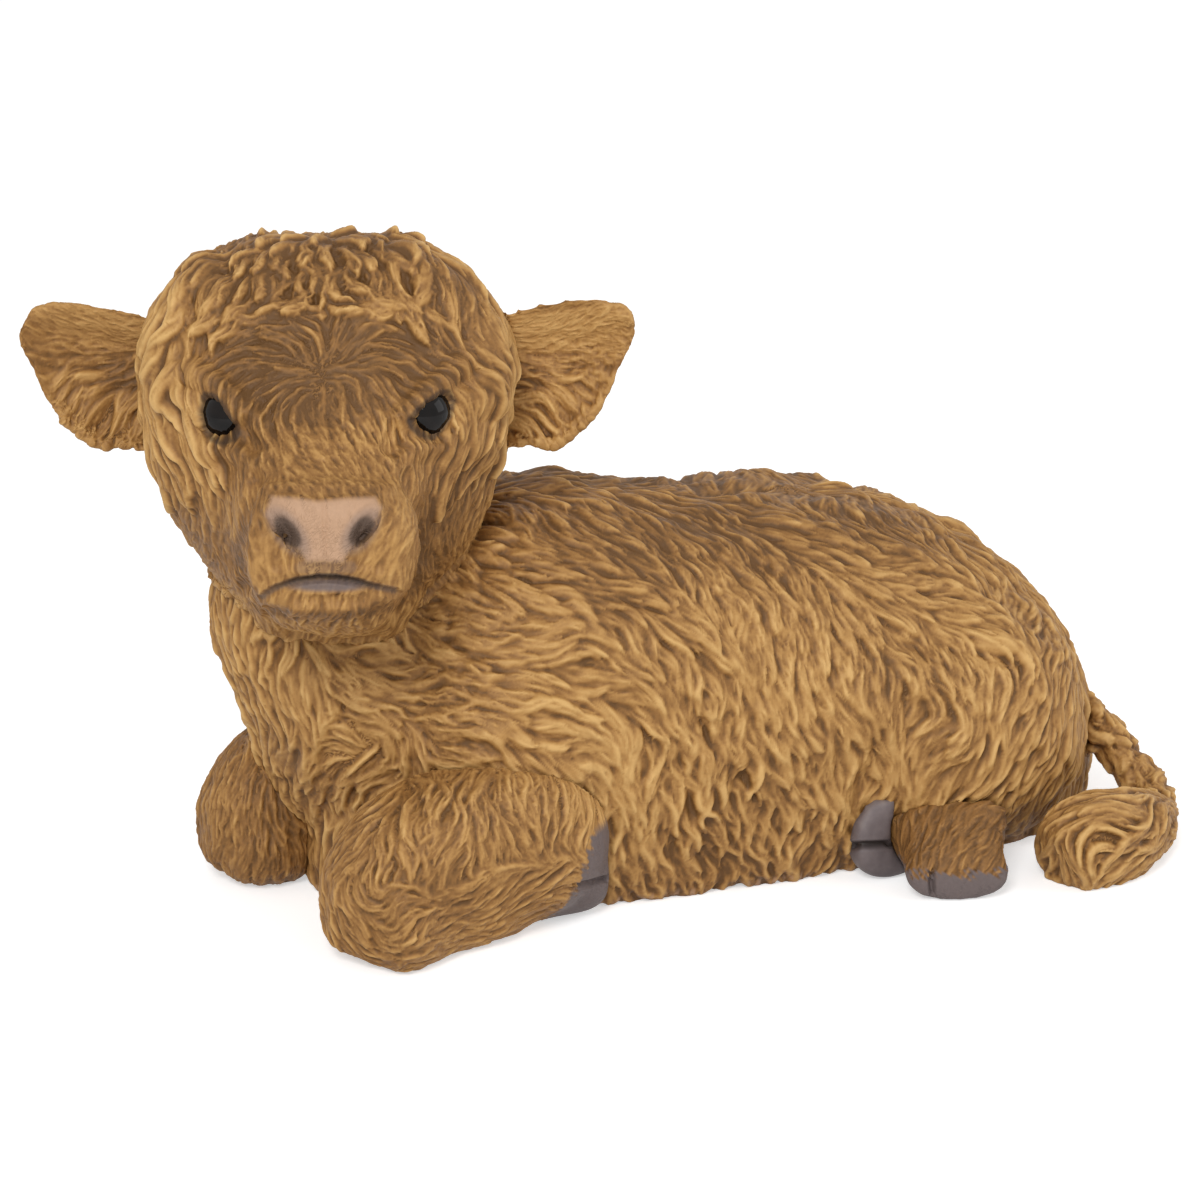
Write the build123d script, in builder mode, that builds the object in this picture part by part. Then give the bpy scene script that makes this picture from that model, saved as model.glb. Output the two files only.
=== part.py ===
from build123d import *
import os
from math import asin, copysign, cos, pi, sin

os.makedirs("parts", exist_ok=True)

# Lying calf figurine in hollow cast resin, in millimetres.
# The calf faces -X, its left side is -Y, and it lies on the plane z = 0.

# Driving sizes of the body
body_length = 310.0
body_width = 152.0
body_height = 128.0
body_wall = 6.0
plate_thickness = 5.0
vent_diameter = 16.0
vent_flange = 24.0
vent_flange_thickness = 2.5
plug_length = 11.0

# Driving sizes of the head
head_width = 118.0
head_height = 134.0
head_depth = 148.0
head_wall = 6.0
head_turn = 68.5
eye_diameter = 16.0
eye_height = 10.0
eye_dome_height = 5.0
eye_socket_depth = 7.0
eye_turn = 42.0
ear_length = 50.0
ear_breadth = 50.0
ear_thickness = 6.0

# Driving sizes of the legs and the tail
foreleg_length = 110.0
foreleg_width = 52.0
foreleg_height = 61.0
cannon_width = 34.0
cannon_height = 30.0
hind_leg_length = 46.0
hind_leg_width = 48.0
hind_leg_height = 50.0
hind_leg_turn = 70.0
hind_hoof_width = 29.0
hind_hoof_height = 30.0
hind_hoof_length = 34.0
tail_thickness = 13.0
tuft_thickness = 30.0

# Driving sizes of the nose, the mouth and the brows
nose_width = 34.0
nose_foot_width = 16.0
nose_height = 20.0
nose_depth = 12.0
nose_round = 4.0
nose_lean = 17.0
nostril_length = 11.0
nostril_width = 5.0
nostril_depth = 4.0
nostril_spread = 23.0
nostril_turn = 54.0
mouth_width = 44.0
mouth_rise = 6.0
mouth_gap = 2.2
mouth_depth = 2.5
brow_length = 58.0
brow_width = 15.0
brow_height = 4.0

# Driving sizes of the main locks of hair: length over their buried ends, width and height over
# the coat, the distance between their middles on the body and on the head, and their lean
lock_length = 36.0
lock_width = 10.0
lock_height = 2.2
lock_spacing = 21.0
head_lock_spacing = 23.0
lock_lean = 5.0

# Pegs and fits
bond_gap = 0.2
limb_peg_diameter = 9.0
tail_peg_diameter = 8.0
ear_peg_diameter = 5.0
ear_peg_length = 9.0
overrun = 4.0

half_length = body_length / 2
half_width = body_width / 2

# How full a rounded section is: 2 gives an ellipse
fullness_share = 2.3

# Points round a rounded section, and steps over the crown of a trunk section
ring_points = 12
crown_steps = 6

# Trunk stations from chest to rump, as shares of half the length, half the width and the height:
# place along X, half width, height of the widest level, height of the top
trunk_shares = (
    (-0.910, 0.24, 0.24, 0.42),
    (-0.870, 0.46, 0.30, 0.60),
    (-0.790, 0.66, 0.36, 0.78),
    (-0.660, 0.80, 0.41, 0.93),
    (-0.450, 0.90, 0.42, 1.035),
    (-0.200, 0.95, 0.41, 1.005),
    (0.060, 0.985, 0.40, 0.950),
    (0.310, 1.000, 0.39, 0.935),
    (0.530, 0.980, 0.37, 0.865),
    (0.720, 0.890, 0.33, 0.735),
    (0.860, 0.700, 0.27, 0.560),
    (0.945, 0.460, 0.21, 0.390),
    (0.990, 0.200, 0.14, 0.230),
)
floor_share = 0.87
low_side_shares = (0.78, 0.45)

# Neck stations from the chest up to the head, as shares of the same sizes:
# height, place along X, half size along X and along Y
neck_shares = (
    (0.16, -0.660, 0.20, 0.40),
    (0.40, -0.690, 0.32, 0.62),
    (0.62, -0.740, 0.33, 0.60),
    (0.82, -0.790, 0.31, 0.46),
)

# Neck stump inside the head, as shares of the head's height and width, from the head's centre:
# height, place along X, half size
stump_shares = (
    (-0.21, 0.03, 0.31),
    (-0.05, 0.00, 0.28),
)

# Haunches and shoulders as shares of the body's sizes: place and half size along X,
# centre and half size along Y, centre and half size along Z
lump_shares = (
    (0.50, 0.33, -0.64, 0.56, 0.34, 0.36),
    (0.40, 0.34, 0.58, 0.46, 0.28, 0.32),
    (-0.50, 0.30, -0.52, 0.44, 0.44, 0.34),
    (-0.50, 0.30, 0.52, 0.46, 0.44, 0.34),
)

lump_steps = 4
lump_end_share = 0.2

# Head centre as shares of the body's sizes
head_place_shares = (-0.838, -0.012, 1.244)

# Head stations from the back to the nose, as shares of the head's depth, half width and height:
# place, half width, and the widest level, the top and the underside from the centre
head_shares = (
    (-0.352, 0.39, 0.060, 0.190, -0.120),
    (-0.310, 0.62, 0.070, 0.300, -0.215),
    (-0.216, 0.84, 0.100, 0.400, -0.330),
    (-0.068, 0.98, 0.140, 0.470, -0.440),
    (0.081, 1.00, 0.160, 0.495, -0.500),
    (0.203, 0.93, 0.140, 0.430, -0.465),
    (0.291, 0.80, 0.080, 0.310, -0.425),
    (0.351, 0.67, 0.015, 0.225, -0.400),
    (0.453, 0.55, -0.075, 0.127, -0.360),
    (0.541, 0.49, -0.112, 0.063, -0.328),
    (0.608, 0.44, -0.127, 0.018, -0.290),
    (0.649, 0.31, -0.134, -0.022, -0.230),
)

# The eyes lie on this head station, this far up its rounded side
eye_station = 7
eye_angle = pi / 6

# Ears on the head: place along its depth, then root and tip as shares of half the head's width
# and of its height
ear_station_share = 0.02
ear_root_shares = (0.970, 0.110)
ear_tip_shares = (1.700, 0.285)
# Ear stations: place along the ear, breadth, depth of the cup
ear_shares = (
    (-0.22, 0.78, 0.20),
    (0.00, 0.88, 0.24),
    (0.26, 0.86, 0.25),
    (0.50, 0.74, 0.22),
    (0.72, 0.57, 0.16),
    (0.88, 0.38, 0.10),
    (0.97, 0.18, 0.05),
)

# Forearm stations from knee to elbow: place along the leg, place of the left and of the right leg
# across the body, half width, height of the middle, half height
forearm_shares = (
    (0.00, -0.92, 0.22, 0.32, 0.30, 0.17),
    (0.06, -0.92, 0.22, 0.64, 0.34, 0.30),
    (0.18, -0.91, 0.23, 0.89, 0.42, 0.41),
    (0.36, -0.88, 0.28, 1.00, 0.48, 0.47),
    (0.56, -0.84, 0.36, 1.00, 0.51, 0.48),
    (0.75, -0.80, 0.45, 0.93, 0.50, 0.44),
    (0.88, -0.75, 0.52, 0.71, 0.48, 0.31),
    (0.93, -0.72, 0.55, 0.39, 0.48, 0.17),
)
# Cannon stations from knee to toe, in the same order
cannon_shares = (
    (0.05, -1.03, 0.12, 0.53, 0.43, 0.33),
    (0.12, -1.05, 0.11, 0.85, 0.46, 0.46),
    (0.29, -1.01, 0.16, 0.97, 0.46, 0.50),
    (0.48, -0.93, 0.30, 0.94, 0.45, 0.48),
    (0.64, -0.84, 0.45, 0.82, 0.42, 0.43),
    (0.74, -0.80, 0.54, 0.74, 0.43, 0.43),
    (0.81, -0.79, 0.60, 0.83, 0.47, 0.47),
    (0.87, -0.78, 0.63, 0.86, 0.49, 0.47),
    (0.92, -0.76, 0.65, 0.62, 0.47, 0.38),
)
# Knees along X
left_knee_share = -1.030
right_knee_share = -1.115
# The right leg folds in under the chest, so it has only the stations from the knee into the trunk
right_forearm_stations = 5
right_cannon_stations = 4

# Left hind leg: its place, then stations from the haunch to the toe: place along the leg,
# half width, height of the middle, half height
hind_leg_place_shares = (0.450, -0.816)
hind_leg_shares = (
    (0.00, 1.00, 0.50, 0.50),
    (0.27, 0.96, 0.48, 0.46),
    (0.50, 0.85, 0.36, 0.35),
    (0.66, 0.76, 0.28, 0.28),
    (0.84, 0.74, 0.21, 0.21),
    (0.97, 0.72, 0.15, 0.16),
    (1.02, 0.50, 0.12, 0.12),
)

# Right hind hoof under the belly: its place, then place along the hoof, half width, half height
hind_hoof_place_shares = (0.281, -0.60)
hind_hoof_shares = (
    (0.00, 0.60, 0.62),
    (0.40, 0.90, 0.92),
    (0.76, 1.00, 1.00),
    (0.92, 1.00, 1.00),
    (1.00, 0.86, 0.86),
)

# Tail stations from the rump to the end of the tuft: place along X, Y and Z as shares of the
# body's sizes, then the shares of the tail's and of the tuft's thickness
tail_shares = (
    (0.845, -0.28, 0.390, 1.00, 0),
    (0.885, -0.46, 0.320, 1.00, 0),
    (0.930, -0.66, 0.215, 0.92, 0),
    (0.967, -0.84, 0.120, 0.85, 0),
    (0.962, -1.00, 0.073, 0.90, 0.05),
    (0.910, -1.14, 0.080, 0.40, 0.45),
    (0.820, -1.27, 0.095, 0, 0.85),
    (0.720, -1.35, 0.105, 0, 1.00),
    (0.640, -1.385, 0.095, 0, 0.92),
    (0.590, -1.40, 0.080, 0, 0.62),
)

# Pegs of the limbs: inner end in the body and outer end in the limb, as shares of the body's sizes
limb_peg_shares = {
    "left_foreleg": ((-0.62, -0.70, 0.26), (-0.62, -1.03, 0.26)),
    "right_foreleg": ((-0.78, 0.25, 0.22), (-0.98, 0.25, 0.22)),
    "left_hind_leg": ((0.45, -0.86, 0.16), (0.42, -1.12, 0.14)),
    "right_hind_hoof": ((0.235, -0.72, 0.12), (0.235, -0.98, 0.12)),
}
vent_place_share = 0.35

# Nose, nostrils and mouth on the front of the head, as shares of its depth and height
nose_place_shares = (0.648, -0.062)
nostril_rise_share = -0.08
mouth_rise_share = -0.195

# Brows from the eyes: across as a share of half the head's width, above as a share of its height,
# and the brow's fall towards the nose
brow_share = (0.55, 0.17)
brow_fall_share = 0.9

# Main locks on the trunk: rows from the shoulders to the rump as shares of half the length,
# height of the middle that they are set out from, first and last angle round the back as shares
# of half a turn, and how far the hair of the sides sweeps back
lock_row_shares = (-0.30, 0.80)
lock_middle_share = 0.36
lock_angle_shares = (-0.06, 1.06)
lock_sweep_share = 0.45

# Main locks on the chest and the rump, in level fans: height, middle of the fan, first and last
# angle from straight ahead as shares of half a turn, and the count in the fan
lock_fan_shares = (
    (0.62, -0.74, -0.20, 0.40, 4),
    (0.42, -0.69, -0.10, 0.30, 4),
    (0.48, 0.45, 0.76, 1.24, 5),
    (0.30, 0.55, 0.76, 1.24, 6),
    (0.13, 0.60, 0.76, 1.24, 5),
)

# Main locks on the head: level rows as shares of a quarter turn over the horizon, and for each
# the first and last place round the head from its front, as shares of half a turn
head_lock_shares = (
    (-0.30, 0.42, 0.62),
    (0.02, 0.78, 1.00),
    (0.28, 0.78, 1.00),
    (0.52, 0.00, 1.00),
    (0.76, 0.00, 1.00),
)

# Head axes: forward to the nose, and across to the calf's left
turn = head_turn * pi / 180
forward = Vector(-cos(turn), -sin(turn), 0)
across_head = Vector(sin(turn), -cos(turn), 0)
upward = Vector(0, 0, 1)


def round_corner(angle):
    """Unit point of a rounded outline at an angle."""
    power = 2 / fullness_share
    across = copysign(abs(cos(angle)) ** power, cos(angle))
    above = copysign(abs(sin(angle)) ** power, sin(angle))
    return across, above


def body_point(x, y, z):
    """Point in the figurine from shares of the body's sizes."""
    return Vector(x * half_length, y * half_width, z * body_height)


head_centre = body_point(*head_place_shares)


def head_point(along, across, above):
    return head_centre + forward * along + across_head * across + upward * above


def trunk_section(place, half, level, top, inset):
    """Closed section across the trunk, open downwards by the overrun when it is inset."""
    wide = half - inset
    foot = half * floor_share - inset
    crown = top - inset
    side, rise = low_side_shares
    right_side = [(foot, 0), (foot + (wide - foot) * side, level * rise)]
    upper = []
    for step in range(crown_steps + 1):
        across, above = round_corner(pi * step / crown_steps)
        upper.append((wide * across, level + (crown - level) * above))
    left_side = [(-across, above) for across, above in reversed(right_side)]
    with BuildSketch(Plane.YZ.offset(place)) as section:
        with BuildLine():
            Spline(*right_side, *upper, *left_side)
            if inset > 0:
                Polyline((-foot, 0), (-foot, -overrun), (foot, -overrun), (foot, 0))
            else:
                Line((-foot, 0), (foot, 0))
        make_face()
    return section.sketch


def trunk_sections(inset):
    reach = half_length - inset
    sections = []
    for x, half, level, top in trunk_shares:
        sizes = (x * reach, half * half_width, level * body_height, top * body_height)
        sections.append(trunk_section(*sizes, inset))
    return sections


def ring(plane, half_across, half_above, half_below):
    """Closed rounded section, with its own half heights above and below its widest level."""
    points = []
    for step in range(ring_points):
        across, above = round_corner(2 * pi * step / ring_points)
        points.append((half_across * across, above * (half_above if above > 0 else half_below)))
    with BuildSketch(plane) as section:
        with BuildLine():
            Spline(*points, periodic=True)
        make_face()
    return section.sketch


def neck_sections(growth):
    """Level sections of the neck and of its stump inside the head."""
    sections = []
    for height, x, along, across in neck_shares:
        plane = Plane(origin=body_point(x, 0, height))
        half_across = across * half_width + growth
        sections.append(ring(plane, along * half_length + growth, half_across, half_across))
    for height, back, size in stump_shares:
        plane = Plane(origin=head_centre + Vector(back * head_width, 0, height * head_height))
        half_across = size * head_width + growth
        sections.append(ring(plane, half_across, half_across, half_across))
    return sections


def lump_sections(x, along, y, across, z, above):
    """Sections across Y of a rounded lump on the trunk."""
    sections = []
    for step in range(-lump_steps, lump_steps + 1):
        angle = step * pi / (2 * lump_steps + lump_end_share)
        high = above * body_height * cos(angle)
        plane = Plane(origin=body_point(x, y + across * sin(angle), z), x_dir=(1, 0, 0), z_dir=(0, 1, 0))
        sections.append(ring(plane, along * half_length * cos(angle), high, high))
    return sections


def head_ring_sizes(station, inset):
    """Place, half width, widest level and half heights of one head section."""
    place, wide, level, top, under = head_shares[station]
    reach = 1 - 2 * inset / head_depth
    half_across = wide * head_width / 2 - inset
    half_above = (top - level) * head_height - inset
    half_below = (level - under) * head_height - inset
    return place * head_depth * reach, half_across, level * head_height, half_above, half_below


def head_sections(inset):
    sections = []
    for station in range(len(head_shares)):
        place, half_across, level, half_above, half_below = head_ring_sizes(station, inset)
        plane = Plane(origin=head_point(place, 0, level), x_dir=across_head, z_dir=forward)
        sections.append(ring(plane, half_across, half_above, half_below))
    return sections


def eye_plane(side):
    """Plane on the head's surface at one eye, looking out of the head."""
    place, half_across, level, half_above, half_below = head_ring_sizes(eye_station, 0)
    across, above = round_corner(eye_angle)
    outward = forward * cos(eye_turn * pi / 180) + across_head * (side * sin(eye_turn * pi / 180))
    origin = head_point(place, side * half_across * across, level + half_above * above)
    return Plane(origin=origin, x_dir=upward, z_dir=outward)


def ear_frame(side):
    """Root of the ear on the head's side, and the ear's direction."""
    place = ear_station_share * head_depth
    root_across, root_above = ear_root_shares
    tip_across, tip_above = ear_tip_shares
    root = head_point(place, side * root_across * head_width / 2, root_above * head_height)
    tip = head_point(place, side * tip_across * head_width / 2, tip_above * head_height)
    return root, (tip - root).normalized()


def ear_sections(side):
    """Cupped sections across the ear, open towards the front of the head."""
    root, axis = ear_frame(side)
    sections = []
    for place, breadth, cup in ear_shares:
        half = breadth * ear_breadth / 2
        depth = cup * ear_breadth
        lip = ear_thickness / 3
        plane = Plane(origin=root + axis * (place * ear_length), x_dir=forward.cross(axis), z_dir=axis)
        front = copysign(1, plane.y_dir.dot(forward))
        with BuildSketch(plane) as section:
            with BuildLine():
                ThreePointArc((-half, 0), (0, -front * depth), (half, 0))
                Line((half, 0), (half, front * lip))
                ThreePointArc(
                    (half, front * lip), (0, front * (ear_thickness - depth)), (-half, front * lip)
                )
                Line((-half, front * lip), (-half, 0))
            make_face()
        sections.append(section.sketch)
    return sections


def leg_sections(shares, knee, side, width, height):
    """Sections across X of a forearm or a cannon."""
    sections = []
    for place, left_y, right_y, half_across, z, half_above in shares:
        x = knee * half_length + place * foreleg_length
        y = (left_y if side < 0 else right_y) * half_width
        plane = Plane(origin=(x, y, z * height), x_dir=(0, 1, 0), z_dir=(1, 0, 0))
        high = half_above * height
        sections.append(ring(plane, half_across * width / 2, high, high))
    return sections


def hind_leg_sections():
    angle = hind_leg_turn * pi / 180
    direction = Vector(-cos(angle), -sin(angle), 0)
    root = body_point(*hind_leg_place_shares, 0)
    sections = []
    for place, half_across, z, half_above in hind_leg_shares:
        origin = root + direction * (place * hind_leg_length) + upward * (z * hind_leg_height)
        plane = Plane(origin=origin, x_dir=upward.cross(direction), z_dir=direction)
        high = half_above * hind_leg_height
        sections.append(ring(plane, half_across * hind_leg_width / 2, high, high))
    return sections


def hind_hoof_sections():
    root = body_point(*hind_hoof_place_shares, 0) + upward * (hind_hoof_height / 2)
    sections = []
    for place, half_across, half_above in hind_hoof_shares:
        origin = root + Vector(0, -place * hind_hoof_length, 0)
        high = half_above * hind_hoof_height / 2
        plane = Plane(origin=origin, x_dir=(1, 0, 0), z_dir=(0, -1, 0))
        sections.append(ring(plane, half_across * hind_hoof_width / 2, high, high))
    return sections


def tail_sections():
    """Sections square to the tail's path."""
    path = [body_point(x, y, z) for x, y, z, thin, thick in tail_shares]
    sections = []
    for index, (x, y, z, thin, thick) in enumerate(tail_shares):
        before = path[max(index - 1, 0)]
        after = path[min(index + 1, len(path) - 1)]
        direction = (after - before).normalized()
        radius = (thin * tail_thickness + thick * tuft_thickness) / 2
        plane = Plane(origin=path[index], x_dir=upward.cross(direction), z_dir=direction)
        sections.append(ring(plane, radius, radius, radius))
    return sections


def peg(inner, outer, diameter):
    """Round peg from a point in the carrying piece to a point in the piece that it locates."""
    line = outer - inner
    with BuildPart() as pin:
        with BuildSketch(Plane(origin=inner, z_dir=line.normalized())):
            Circle(diameter / 2)
        extrude(amount=line.length)
    return pin.part


def limb_peg(name, diameter):
    inner, outer = limb_peg_shares[name]
    return peg(body_point(*inner), body_point(*outer), diameter)


def ear_peg(side, diameter):
    """Peg behind the cup of the ear, into the side of the head."""
    root, axis = ear_frame(side)
    cup_depth = ear_shares[1][2] * ear_breadth
    seat = root + forward * (ear_thickness / 2 - cup_depth)
    return peg(seat - axis * ear_peg_length, seat + axis * ear_peg_diameter, diameter)


def tail_peg(diameter):
    inner = body_point(*tail_shares[0][:3])
    outer = body_point(*tail_shares[2][:3])
    return peg(inner, outer, diameter)


def surface_place(shape, start, direction):
    """Outermost place on a shape along a ray, and the outward normal there."""
    best = None
    for face in shape.faces():
        for place, normal in face.find_intersection_points(Axis(start, direction)):
            reach = (place - start).dot(direction)
            if best is None or reach > best[0]:
                best = (reach, place, normal)
    reach, place, normal = best
    return place, normal * copysign(1, normal.dot(direction))


def lock(place, normal, flow, length, width, height):
    """Leaf-shaped lock of hair, half sunk in the coat, that rises a little towards its tip."""
    along = (flow - normal * flow.dot(normal)).normalized()
    lean = lock_lean * pi / 180
    axis = along * cos(lean) + normal * sin(lean)
    radius = (width**2 / 4 + height**2) / (2 * height)
    centre = place - normal * (radius - height)
    with BuildPart() as leaf:
        with BuildSketch(Plane(origin=centre, x_dir=axis, z_dir=axis.cross(normal))):
            with BuildLine():
                Spline((-length / 2, 0), (0, radius), (length / 2, 0))
                Line((length / 2, 0), (-length / 2, 0))
            make_face()
        revolve(axis=Axis(centre, axis))
    return leaf.part


def free_locks(locks, neighbours):
    """The locks whose boxes stay clear of the boxes of what is bonded on beside them."""
    boxes = [neighbour.bounding_box() for neighbour in neighbours]
    return [leaf for leaf in locks if not any(leaf.bounding_box().overlaps(box) for box in boxes)]


def body_locks(shape):
    """Main locks over the chest, the rump, the back and the flanks, set out like shingles."""
    locks = []
    for height, x, first, last, count in lock_fan_shares:
        for step in range(count):
            angle = pi * (1 + first + (last - first) * step / (count - 1))
            ray = Vector(cos(angle), sin(angle), 0)
            place, normal = surface_place(shape, body_point(x, 0, height), ray)
            locks.append(lock(place, normal, -upward, lock_length, lock_width, lock_height))
    first, last = (share * half_length for share in lock_row_shares)
    rows = round((last - first) / lock_spacing)
    for row in range(rows + 1):
        x = first + (last - first) * row / rows
        start = Vector(x, 0, lock_middle_share * body_height)
        low, high = (share * pi for share in lock_angle_shares)
        count = round((high - low) * half_width / lock_spacing)
        for step in range(count + row % 2):
            angle = low + (high - low) * (step + (1 - row % 2) / 2) / count
            ray = Vector(0, cos(angle), sin(angle))
            place, normal = surface_place(shape, start, ray)
            flow = Vector(lock_sweep_share + sin(angle), 0, -abs(cos(angle)))
            locks.append(lock(place, normal, flow, lock_length, lock_width, lock_height))
    return locks


def head_locks(shape):
    """Main locks over the poll, the sides and the back of the head, falling from its crown."""
    locks = []
    for rise_share, first, last in head_lock_shares:
        rise = rise_share * pi / 2
        radius = head_width / 2 * cos(rise)
        for side in (-1, 1):
            count = max(round((last - first) * pi * radius / head_lock_spacing), 1)
            for step in range(count):
                angle = side * pi * (first + (last - first) * (step + 1 / 2) / count)
                level = forward * cos(angle) + across_head * sin(angle)
                ray = level * cos(rise) + upward * sin(rise)
                place, normal = surface_place(shape, head_centre, ray)
                flow = level * sin(rise) - upward
                locks.append(lock(place, normal, flow, lock_length, lock_width, lock_height))
    return locks


def face_plane():
    """Plane on the front of the muzzle, leaning back with the nose."""
    lean = nose_lean * pi / 180
    along, above = nose_place_shares
    origin = head_point(along * head_depth, 0, above * head_height)
    return Plane(origin=origin, x_dir=across_head, z_dir=forward * cos(lean) + upward * sin(lean))


def brow(shape, side):
    """Ridge over one eye, falling towards the nose."""
    across, above = brow_share
    start = head_point(0, side * across * head_width / 2, above * head_height)
    place, normal = surface_place(shape, start, forward)
    flow = across_head * -side - upward * brow_fall_share
    return lock(place, normal, flow, brow_length, brow_width, brow_height)


with BuildPart() as floor_cut:
    with Locations((0, 0, -body_height)):
        Box(4 * body_length, 4 * body_width, 2 * body_height)

# Outer forms, which cut each other where the castings are bonded
with BuildPart() as body_outer:
    loft(sections=trunk_sections(0))
    loft(sections=neck_sections(0))
    for shares in lump_shares:
        loft(sections=lump_sections(*shares))
    add(floor_cut, mode=Mode.SUBTRACT)

with BuildPart() as neck_seat:
    loft(sections=neck_sections(bond_gap))

with BuildPart() as head_outer:
    loft(sections=head_sections(0))

# What is bonded on each casting, which the main locks leave free
on_body = [head_outer.part]
on_head = []

# Ears: thin cupped shells with a peg
for name, side in (("left_ear", 1), ("right_ear", -1)):
    with BuildPart() as ear:
        loft(sections=ear_sections(side))
        add(head_outer, mode=Mode.SUBTRACT)
        add(ear_peg(side, ear_peg_diameter))
    ear.part.label = name
    on_head.append(ear.part)
    export_step(ear.part, f"parts/{name}.step")

# Glass eyes: flat-backed buttons with a dome that stands out of the socket
for name, side in (("left_eye", 1), ("right_eye", -1)):
    back = eye_plane(side).offset(-eye_socket_depth)
    profile_plane = Plane(origin=back.origin, x_dir=upward, z_dir=upward.cross(back.z_dir))
    radius = eye_diameter / 2
    rim = eye_height - eye_dome_height
    dome_radius = (radius**2 + eye_dome_height**2) / (2 * eye_dome_height)
    half_arc = asin(radius / dome_radius) / 2
    with BuildPart() as eye:
        with BuildSketch(profile_plane):
            with BuildLine():
                Line((0, 0), (radius, 0))
                Line((radius, 0), (radius, rim))
                ThreePointArc(
                    (radius, rim),
                    (dome_radius * sin(half_arc), eye_height - dome_radius * (1 - cos(half_arc))),
                    (0, eye_height),
                )
                Line((0, eye_height), (0, 0))
            make_face()
        revolve(axis=Axis(back.origin, back.z_dir))
    eye.part.label = name
    on_head.append(eye.part)
    export_step(eye.part, f"parts/{name}.step")

# Forelegs: forearm and folded cannon with the hoof, in one casting with a peg
for name, side, knee, forearm, cannon in (
    ("left_foreleg", -1, left_knee_share, forearm_shares, cannon_shares),
    (
        "right_foreleg",
        1,
        right_knee_share,
        forearm_shares[:right_forearm_stations],
        cannon_shares[:right_cannon_stations],
    ),
):
    with BuildPart() as foreleg:
        loft(sections=leg_sections(forearm, knee, side, foreleg_width, foreleg_height))
        loft(sections=leg_sections(cannon, knee, side, cannon_width, cannon_height))
        add(floor_cut, mode=Mode.SUBTRACT)
        add(body_outer, mode=Mode.SUBTRACT)
        add(limb_peg(name, limb_peg_diameter))
    foreleg.part.label = name
    on_body.append(foreleg.part)
    export_step(foreleg.part, f"parts/{name}.step")

# Left hind leg, from the haunch to the hoof
with BuildPart() as left_hind_leg:
    loft(sections=hind_leg_sections())
    add(floor_cut, mode=Mode.SUBTRACT)
    add(body_outer, mode=Mode.SUBTRACT)
    add(limb_peg("left_hind_leg", limb_peg_diameter))
left_hind_leg.part.label = "left_hind_leg"
on_body.append(left_hind_leg.part)
export_step(left_hind_leg.part, "parts/left_hind_leg.step")

# Right hind hoof, which comes out from under the belly
with BuildPart() as right_hind_hoof:
    loft(sections=hind_hoof_sections())
    add(floor_cut, mode=Mode.SUBTRACT)
    add(body_outer, mode=Mode.SUBTRACT)
    add(left_hind_leg, mode=Mode.SUBTRACT)
    add(limb_peg("right_hind_hoof", limb_peg_diameter))
right_hind_hoof.part.label = "right_hind_hoof"
on_body.append(right_hind_hoof.part)
export_step(right_hind_hoof.part, "parts/right_hind_hoof.step")

# Tail, laid round the left haunch
with BuildPart() as tail:
    loft(sections=tail_sections())
    add(floor_cut, mode=Mode.SUBTRACT)
    add(body_outer, mode=Mode.SUBTRACT)
    add(left_hind_leg, mode=Mode.SUBTRACT)
    add(tail_peg(tail_peg_diameter))
tail.part.label = "tail"
on_body.append(tail.part)
export_step(tail.part, "parts/tail.step")

# Body casting: hollow, open underneath, with a hole for each peg
peg_holes = [limb_peg(name, limb_peg_diameter + 2 * bond_gap) for name in limb_peg_shares]
peg_holes.append(tail_peg(tail_peg_diameter + 2 * bond_gap))
with BuildPart() as body_casting:
    add(body_outer)
    add(free_locks(body_locks(body_outer.part), on_body))
    loft(sections=trunk_sections(body_wall), mode=Mode.SUBTRACT)
    add(peg_holes, mode=Mode.SUBTRACT)
body_casting.part.label = "body_casting"
export_step(body_casting.part, "parts/body_casting.step")

# Mouth and nostrils: a bowed slit as deep as the lips, all round the front of the muzzle, and two
# slanted ovals in the nose pad
mouth_origin = head_point(0, 0, mouth_rise_share * head_height)
with BuildPart() as face_cuts:
    with BuildSketch(Plane(origin=mouth_origin, x_dir=across_head, z_dir=forward)):
        corner = mouth_width / 2
        with BuildLine():
            for level in (0, -mouth_gap):
                ThreePointArc((-corner, level - mouth_rise), (0, level), (corner, level - mouth_rise))
            for side in (-1, 1):
                Line((side * corner, -mouth_rise), (side * corner, -mouth_rise - mouth_gap))
        make_face()
    extrude(amount=head_depth)
    loft(sections=head_sections(mouth_depth), mode=Mode.SUBTRACT)
    with BuildSketch(face_plane().offset(overrun)):
        for side in (-1, 1):
            nostril = (side * nostril_spread / 2, nostril_rise_share * nose_height)
            with Locations(Location(nostril, side * nostril_turn)):
                Ellipse(nostril_length / 2, nostril_width / 2)
    extrude(amount=-overrun - nostril_depth)

# The head's cavity stays clear of a boss behind each eye
with BuildPart() as head_cavity:
    loft(sections=head_sections(head_wall))
    for side in (-1, 1):
        with BuildSketch(eye_plane(side).offset(-eye_socket_depth - head_wall)):
            Circle(eye_diameter / 2 + head_wall)
        extrude(amount=eye_socket_depth + 2 * head_wall, mode=Mode.SUBTRACT)

# Nose pad
with BuildPart() as nose:
    with BuildSketch(face_plane()) as nose_outline:
        with BuildLine():
            Polyline(
                (-nose_width / 2, nose_height / 2),
                (nose_width / 2, nose_height / 2),
                (nose_foot_width / 2, -nose_height / 2),
                (-nose_foot_width / 2, -nose_height / 2),
                close=True,
            )
        make_face()
        fillet(nose_outline.vertices(), radius=nose_round)
    extrude(amount=-nose_depth)

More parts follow.
